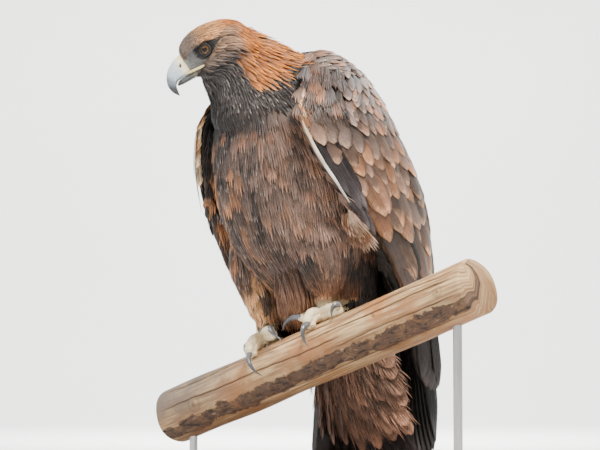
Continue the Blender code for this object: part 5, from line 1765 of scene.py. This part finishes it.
def jaw_form(levels=40, sides=32):
    forward = np.linspace(JAW[0][0], JAW[-1][0], levels)
    rows = cubic([r[0] for r in JAW], [r[1:] for r in JAW], forward)
    a = around(sides)[None]
    middle, tall, wide = (rows[:, 0] + rows[:, 1]) / 2, (rows[:, 0] - rows[:, 1]) / 2, rows[:, 2]
    where = on_head(
        forward[:, None], middle[:, None] + tall[:, None] * np.sin(a), wide[:, None] * np.cos(a)
    )
    return where, stacked(forward[:, None] / 7, (np.sin(a) + 1) / 2)


def bill_finish(name, stops):
    """Pale at its base and darker to its tip, with fine lines of growth."""
    f = Finish(name)
    spot = f.spot("Bill")
    clouds = f.noise(f.place(), 130.0, 3.0, 0.6)
    lines = f.noise(f.place(), 420.0, 2.0, 0.6)
    along = f.times_plus(f.minus(clouds, 0.5), 0.12, spot[0])
    colour = stops[0][1]
    for k in range(1, len(stops)):
        colour = f.mix(f.step(along, stops[k - 1][0], stops[k][0]), colour, stops[k][1])
    colour = f.mix(f.step(lines, 0.35, 0.7, 0.0, 0.16), colour, (0.02, 0.02, 0.02))
    # The nostril's opening is painted near black: painted shade inside it
    colour = f.mix(f.add("Attribute", attribute_name="Pit")["Fac"], colour, (0.012, 0.011, 0.01))
    rough = f.step(clouds, 0.3, 0.7, 0.24, 0.4)
    return f.done(colour, rough, f.bump(f.plus(clouds, lines), 0.25, 0.0004), Specular_IOR_Level=0.55)


# The pale fleshy line of the gape: forward, up and out
GAPE = ((0.7, -2.5, 2.36), (1.8, -2.33, 1.96), (2.9, -2.13, 1.52), (3.7, -1.98, 1.34), (4.4, -1.88, 1.2))


def gape_form(side):
    path = cubic(np.arange(5), GAPE, np.linspace(0, 4, 40))
    thick = 0.2 * np.sqrt(np.clip(1 - np.abs(np.linspace(-1, 1, 40)) ** 2.5, 0.03, 1))
    return tube_rings(on_head(path[:, 0], path[:, 1], side * path[:, 2]), thick, 20)


horn_stops = (
    (0.1, srgb(196, 204, 208)), (0.42, srgb(176, 190, 200)), (0.62, srgb(116, 126, 136)),
    (0.8, srgb(48, 50, 55)), (1.0, srgb(24, 24, 28)),
)
jaw_stops = (
    (0.1, srgb(214, 196, 140)), (0.3, srgb(150, 144, 122)), (0.6, srgb(92, 94, 96)),
    (0.9, srgb(46, 47, 50)),
)
cere_stops = ((0.0, srgb(226, 208, 150)), (0.1, srgb(228, 222, 190)), (0.2, srgb(204, 208, 200)))
for name, form, nodes, finish, slot_name in (
    (
        "cere_fine", bill_form(0.0, 1.32, levels=40, grow=0.02), ("cere",),
        bill_finish("cere_skin", cere_stops),
        "yellow_skin"
    ),
    (
        "bill_upper_fine", bill_form(1.22, 6.98, levels=90), ("bill_upper",),
        bill_finish("grey_horn_fine", horn_stops), "grey_horn"
    ),
    ("bill_lower_fine", jaw_form(), ("bill_lower",), bill_finish("jaw_horn", jaw_stops), "grey_horn"),
):
    where, uv = form
    points, quads, caps = joined([closed_form(where)])
    uv = uv.reshape(-1, 2)
    if name == "cere_fine":
        for side in SIDES:
            fold = gape_form(side)
            points, quads, caps = joined([(points, [quads, caps]), closed_form(fold)])
            uv = np.concatenate([uv, np.zeros((len(points) - len(uv), 2))])
    pit = nostril_pit(*head_place(points)[:2])[0] * (name == "cere_fine")
    thing = mesh_object(
        name, points, [quads] + by_size(caps), uv={"Bill": uv},
        flat_colours={"Pit": np.repeat(pit[:, None], 3, 1)},
    )
    thing.data.materials.append(finish)
    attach(thing, "root")
    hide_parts(*nodes)

# Toes and claws

TOES = ("inner", "middle", "outer", "hind")
# Each toe's end along and round the log, its arch, its end's height and its radius; then how far its
# claw goes along and round the log, how high it arches and how high its tip is
TOE_SHAPES = {
    (1, "inner"): (-2.4, 18.0, 1.6, 1.9, 0.78, -4.2, 5.0, 0.7, 1.2),
    (1, "middle"): (0.4, 43.0, 1.6, 1.1, 0.76, 0.0, 43.0, 0.75, 0.16),
    (1, "outer"): (5.6, 20.0, 1.3, 1.3, 0.66, -0.8, 22.0, 0.6, 0.16),
    (1, "hind"): (-0.6, -62.0, 1.2, 1.05, 0.84, -0.3, -47.0, 0.8, 0.16),
    (-1, "inner"): (4.4, 28.0, 1.9, 2.2, 0.78, 3.2, 28.0, 0.5, 0.9),
    (-1, "middle"): (0.4, 56.0, 1.6, 1.1, 0.76, 1.7, 45.0, 0.75, 0.16),
    (-1, "outer"): (-2.4, 14.0, 1.2, 1.1, 0.66, 0.3, 24.0, 0.6, 0.16),
    (-1, "hind"): (0.6, -62.0, 1.2, 1.05, 0.84, 0.3, -47.0, 0.8, 0.16),
}


def toe_path(side, toe):
    """Points of a toe from the foot's middle to its end, then of its claw to the claw's tip."""
    ahead, turn, arch, end, radius, shift, bend, crest, tip = TOE_SHAPES[side, toe]
    foot = FEET_ALONG[side]
    toe_points = [
        on_log(foot, math.copysign(2.0, turn), 1.5), on_log(foot + 0.35 * ahead, 0.35 * turn, arch + 0.2),
        on_log(foot + 0.72 * ahead, 0.72 * turn, arch), on_log(foot + ahead, turn, end),
    ]
    share = np.array([0.0, 0.25, 0.5, 0.75, 1.0])
    height = end + 0.07 + (tip - end - 0.07) * share + crest * 4 * share * (1 - share)
    return np.array(toe_points), on_log(foot + ahead + shift * share, turn + bend * share, height), radius


def toe_finish():
    f = Finish("yellow_toes")
    spot = f.spot("Toe")
    across = f.maths("SINE", f.times(spot[1], 62.0))
    scales = f.add("TexVoronoi", {"Vector": f.place(), "Scale": 520.0})["Distance"]
    clouds = f.noise(f.place(), 150.0, 3.0)
    colour = f.mix(clouds, srgb(246, 236, 206), srgb(230, 208, 164))
    colour = f.mix(f.step(scales, 0.35, 0.8, 0.0, 0.5), colour, srgb(160, 128, 86))
    height = f.times_plus(across, 0.25, f.minus(1.0, scales))
    return f.done(colour, f.step(clouds, 0.3, 0.7, 0.4, 0.6), f.bump(height, 0.6, 0.0006))


def claw_finish():
    f = Finish("claw_horn")
    spot = f.spot("Toe")
    lines = f.noise(
        f.add("CombineXYZ", {0: f.times(spot[0], 22.0), 1: f.times(spot[1], 2.0)})[0], 1.0, 3.0, 0.6
    )
    clouds = f.noise(f.place(), 120.0, 2.0)
    colour = f.mix(f.step(spot[1], 0.0, 0.5), srgb(96, 98, 104), srgb(44, 45, 50))
    colour = f.mix(f.step(lines, 0.3, 0.8, 0.0, 0.35), colour, srgb(150, 150, 150))
    return f.done(
        colour, f.step(clouds, 0.3, 0.7, 0.16, 0.3), f.bump(lines, 0.2, 0.0003), Specular_IOR_Level=0.6
    )


TOE_SIDES = 28


def toe_uv(share):
    return stacked(np.arange(TOE_SIDES)[None] / TOE_SIDES, share[:, None]).reshape(-1, 2)


def curve_through(points, share):
    return cubic(np.arange(len(points)), points, share * (len(points) - 1))


toes_material, claws_material = toe_finish(), claw_finish()
for side, word in SIDE_WORDS:
    forms, uvs = [], []
    for toe in TOES:
        points, claw_points, radius = toe_path(side, toe)
        share = np.linspace(0, 1, 60)
        path = curve_through(points, share)
        swell = cubic(np.linspace(0, 1, 7), (1.15, 1.05, 0.92, 1.04, 0.9, 0.98, 0.72), share)
        scutes = 0.03 * np.abs(np.sin(share * math.pi * 11))
        radii = radius * (swell + scutes)
        path = np.concatenate([path, path[-1:] + 0.02])
        radii = np.append(radii, 0.1)
        share = np.append(share, 1.0)
        rings = tube_rings(path, radii, TOE_SIDES)
        forms.append(closed_form(rings))
        uvs.append(toe_uv(share))
        # The fleshy pads under the toe reach the log
        share = np.linspace(0.12, 0.95, 40)
        path = curve_through(points, share)
        inward = path - LOG_CENTRE
        inward = unit(inward - (inward @ LOG_WAY)[:, None] * LOG_WAY)
        radii = radius * (0.85 + 0.1 * np.abs(np.sin(share * math.pi * 3)))
        forms.append(closed_form(tube_rings(path - inward * 0.8, radii, TOE_SIDES)))
        uvs.append(toe_uv(share))
        share = np.linspace(0, 1, 48)
        path = curve_through(claw_points, share)
        path[0] = path[0] - unit(path[1] - path[0]) * 0.2
        radii = radius * 0.6 * (1 - share**1.5 * 0.95)
        rings = tube_rings(path, radii, TOE_SIDES, lambda a: 1 + 0.1 * np.abs(np.sin(a)) ** 3)
        sides, caps = ring_faces(1, *rings.shape[:2])
        claw_uv = toe_uv(share)
        claw = mesh_object(
            f"claw_{word}_{toe}_fine", rings.reshape(-1, 3), [sides, caps], uv={"Toe": claw_uv}
        )
        claw.data.materials.append(claws_material)
        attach(claw, "root")
        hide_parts(f"claw_{word}_{toe}")
    pad = tube_rings(
        on_log(np.full(8, FEET_ALONG[side]), -4.0, np.linspace(0.5, 2.4, 8)), np.linspace(1.5, 1.3, 8),
        TOE_SIDES
    )
    forms.append(closed_form(pad))
    uvs.append(np.zeros((pad.shape[0] * pad.shape[1], 2)))
    points, quads, caps = joined(forms)
    foot = mesh_object(f"toes_{word}", points, [quads, caps], uv={"Toe": np.concatenate(uvs)})
    foot.data.materials.append(toes_material)
    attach(foot, "root")
    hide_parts(f"foot_{word}")

# The log


def log_form(levels=330, sides=360):
    along = np.linspace(*LOG_ENDS, levels)[:, None]
    a = around(sides)[None]
    degrees = np.degrees(a)
    wave = 0.07 * np.sin(3 * a + along * 0.21) + 0.05 * np.sin(5 * a - along * 0.33) - 0.09
    dark = np.zeros_like(wave)
    # Long drying cracks along the grain
    for at, drift, start, end, deep, wide in CRACKS:
        line = at + drift * along + 1.2 * np.sin(along * 0.35 + at) + 0.4 * np.sin(along * 1.7 + at)
        away = np.abs((degrees - line + 180) % 360 - 180)
        run = smooth(start, start + 6, along) * smooth(end, end - 6, along)
        line = run * np.exp(-((away / wide) ** 2))
        wave = wave - deep * line
        # The cracks' dark colour is painted shade inside them
        dark = np.maximum(dark, line)
    # Knots where twigs were cut: along, angle, size and height
    for at, degree, size, high in KNOTS:
        far = np.hypot(along - at, ((degrees - degree + 180) % 360 - 180) * math.radians(LOG_RADIUS)) / size
        wave = wave + high * np.exp(-(far**4)) + 0.06 * np.exp(-(((far - 1.3) / 0.3) ** 2))
        ring = 0.3 * np.exp(-(((far - 1.1) / 0.25) ** 2)) if high > 0 else np.zeros_like(far)
        dark = np.maximum(dark, np.maximum(ring, 0.75 * np.exp(-((far / 0.35) ** 2))))
    radius = LOG_RADIUS + LOG_TAPER * along + wave
    edge = np.minimum(along - LOG_ENDS[0], LOG_ENDS[1] - along)
    radius = radius - 0.25 * (1 - smooth(0.0, 0.35, edge))
    direction = np.cos(a)[..., None] * LOG_OUT + np.sin(a)[..., None] * FRONT
    where = LOG_CENTRE + LOG_WAY * along[..., None] + radius[..., None] * direction
    uv = stacked(a / (2 * math.pi), (along - LOG_ENDS[0]) / (LOG_ENDS[1] - LOG_ENDS[0]))
    return where, uv, dark


# Angle from the top towards the front, how it turns along the log, where it runs, depth and width
CRACKS = (
    (46.0, 0.12, -29.0, 38.0, 0.3, 1.7), (70.0, -0.1, 4.0, 38.0, 0.26, 1.5),
    (88.0, 0.1, -29.0, 16.0, 0.2, 1.5), (205.0, 0.1, -29.0, 30.0, 0.25, 1.6),
    (290.0, -0.08, -20.0, 38.0, 0.25, 1.6), (330.0, 0.1, -29.0, 5.0, 0.2, 1.4),
    (26.0, 0.05, 10.0, 38.0, 0.2, 1.4), (150.0, 0.0, -10.0, 38.0, 0.2, 1.6),
    (104.0, -0.06, 8.0, 38.0, 0.16, 1.2),
)
KNOTS = (
    (-8.4, 140.0, 1.3, 0.35), (0.8, 116.0, 0.6, 0.5), (20.2, 76.0, 0.4, -0.35), (-19.5, 98.0, 1.1, 0.25),
    (-3.6, 128.0, 0.45, 0.4), (33.0, 84.0, 0.7, 0.2),
)


def log_finish():
    f = Finish("peeled_log_fine")
    spot = f.add("UVMap", uv_map="Log")[0]
    grain = f.noise(f.scaled(spot, (46.0, 5.0, 1.0)), 1.0, 5.0, 0.65, 0.3)
    fibres = f.noise(f.scaled(spot, (190.0, 9.0, 1.0)), 1.0, 4.0, 0.6)
    clouds = f.noise(f.place(), 14.0, 4.0, 0.6)
    colour = f.mix(f.step(grain, 0.38, 0.62), srgb(140, 102, 64), srgb(218, 184, 136))
    colour = f.mix(f.step(clouds, 0.42, 0.66), colour, srgb(168, 112, 64))
    colour = f.mix(f.step(fibres, 0.5, 0.72, 0.0, 0.85), colour, srgb(102, 72, 48))
    split = f.add("SeparateXYZ", {0: spot})
    # Its low end is weathered grey above
    weathered = f.times(f.step(split[1], 0.42, 0.08), f.step(clouds, 0.3, 0.6, 0.5, 1.0))
    weathered = f.times(weathered, f.step(split[0], 0.35, 0.26, 0.0, 0.85))
    colour = f.mix(weathered, colour, srgb(96, 90, 84))
    # The side turned down is darker, more so in patches: painted shade with stains
    under = f.maths("ABSOLUTE", f.minus(split[0], 0.47))
    stain = f.noise(f.scaled(spot, (7.0, 3.0, 1.0)), 1.0, 5.0, 0.65, 0.5)
    stain_and_shade = f.times(f.step(under, 0.3, 0.12), f.step(stain, 0.35, 0.65, 0.35, 1.0))
    colour = f.mix(stain_and_shade, colour, f.mix(0.75, colour, srgb(112, 78, 50)))
    # Grey and orange remains of bark low on the front, rough and torn
    torn = f.noise(f.scaled(spot, (7.0, 13.0, 1.0)), 1.0, 7.0, 0.7, 0.8)
    middle = f.times_plus(split[1], -0.035, 0.36)
    middle = f.times_plus(stain, 0.05, middle)
    warped = f.times_plus(f.minus(torn, 0.5), 0.16, split[0])
    away = f.times_plus(clouds, -0.05, f.maths("ABSOLUTE", f.minus(warped, middle)))
    bark = f.step(away, 0.024, 0.014)
    flakes = f.noise(f.scaled(spot, (44.0, 34.0, 1.0)), 1.0, 5.0, 0.7, 0.4)
    bark_colour = f.mix(f.step(flakes, 0.38, 0.5), srgb(28, 20, 16), srgb(82, 58, 42))
    bark_colour = f.mix(f.step(flakes, 0.58, 0.72), bark_colour, srgb(150, 124, 102))
    colour = f.mix(f.times(bark, f.step(torn, 0.32, 0.5, 0.45, 1.0)), colour, bark_colour)
    # Cracks are painted dark as painted shade inside them; knots are darker wood
    colour = f.mix(f.add("Attribute", attribute_name="Crack")["Fac"], colour, srgb(72, 48, 32))
    height = f.plus(f.times(grain, 0.6), f.times(fibres, 0.5))
    height = f.plus(height, f.times(bark, f.times(flakes, 3.0)))
    return f.done(colour, f.step(grain, 0.3, 0.7, 0.62, 0.8), f.bump(height, 0.9, 0.0016))


where, uv, dark = log_form()
sides, caps = ring_faces(1, *where.shape[:2])
log = mesh_object(
    "log_fine", where.reshape(-1, 3), [sides, caps], uv={"Log": uv.reshape(-1, 2)},
    flat_colours={"Crack": np.repeat(dark.reshape(-1, 1), 3, 1)}
)
log.data.materials.append(log_finish())
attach(log, "root")
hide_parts("perch_log")

# The stand keeps its solids


def board_finish():
    f = Finish("dark_board_fine")
    grain = f.noise(f.place(scale=(3.0, 40.0, 40.0)), 3.0, 6.0, 0.6, 0.8)
    pores = f.noise(f.place(scale=(12.0, 300.0, 300.0)), 3.0, 3.0, 0.5)
    colour = f.mix(f.step(grain, 0.3, 0.7), srgb(52, 34, 24), srgb(92, 62, 42))
    colour = f.mix(f.step(pores, 0.55, 0.75, 0.0, 0.5), colour, srgb(30, 20, 15))
    return f.done(colour, f.step(grain, 0.3, 0.7, 0.34, 0.46), f.bump(f.plus(grain, pores), 0.2, 0.0005))


def steel_finish():
    f = Finish("steel_rod_fine")
    brushed = f.noise(f.place(scale=(900.0, 900.0, 6.0)), 1.0, 3.0, 0.6)
    colour = f.mix(brushed, (0.42, 0.42, 0.43), (0.62, 0.62, 0.62))
    return f.done(
        colour, f.step(brushed, 0.3, 0.7, 0.26, 0.42), f.bump(brushed, 0.08, 0.0002), Metallic=1.0
    )


def refinish(name, material):
    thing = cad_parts[name]
    thing.data.materials.clear()
    thing.data.materials.append(material)


refinish("stand_base", board_finish())
steel = steel_finish()
for word in ("low", "high"):
    refinish(f"stand_rod_{word}", steel)

# A plain pale floor that curves up all round

FLOOR_SIDES, CURVE_STEPS = 96, 12
FLAT, CURVE, FLOOR_EDGE, FLOOR_TOP = 4.2, 1.6, 5.8, 4.5


def studio_floor():
    profile = [(0.0, 0.0), (FLAT, 0.0)]
    for k in range(1, CURVE_STEPS + 1):
        a = math.pi / 2 * k / CURVE_STEPS
        profile.append((FLAT + CURVE * math.sin(a), CURVE * (1 - math.cos(a))))
    profile.append((FLOOR_EDGE, FLOOR_TOP))
    turns = around(FLOOR_SIDES)
    points = [(0.0, 0.0, 0.0)]
    for radius, height in profile[1:]:
        points += [(radius * math.cos(a), radius * math.sin(a), height) for a in turns]
    faces = [(0, 1 + i, 1 + (i + 1) % FLOOR_SIDES) for i in range(FLOOR_SIDES)]
    for k in range(len(profile) - 2):
        inner, outer = 1 + FLOOR_SIDES * k, 1 + FLOOR_SIDES * (k + 1)
        for i in range(FLOOR_SIDES):
            j = (i + 1) % FLOOR_SIDES
            faces.append((inner + i, outer + i, outer + j, inner + j))
    mesh = bpy.data.meshes.new("floor")
    mesh.from_pydata(points, [], faces)
    mesh.shade_smooth()
    thing = placed("floor", mesh)
    f = Finish("pale_floor")
    mottle = f.noise(f.place(), 2.0, 3.0)
    thing.data.materials.append(f.done(f.mix(mottle, (0.84, 0.84, 0.83), (0.88, 0.88, 0.87)), 0.85))
    return thing


studio_floor()
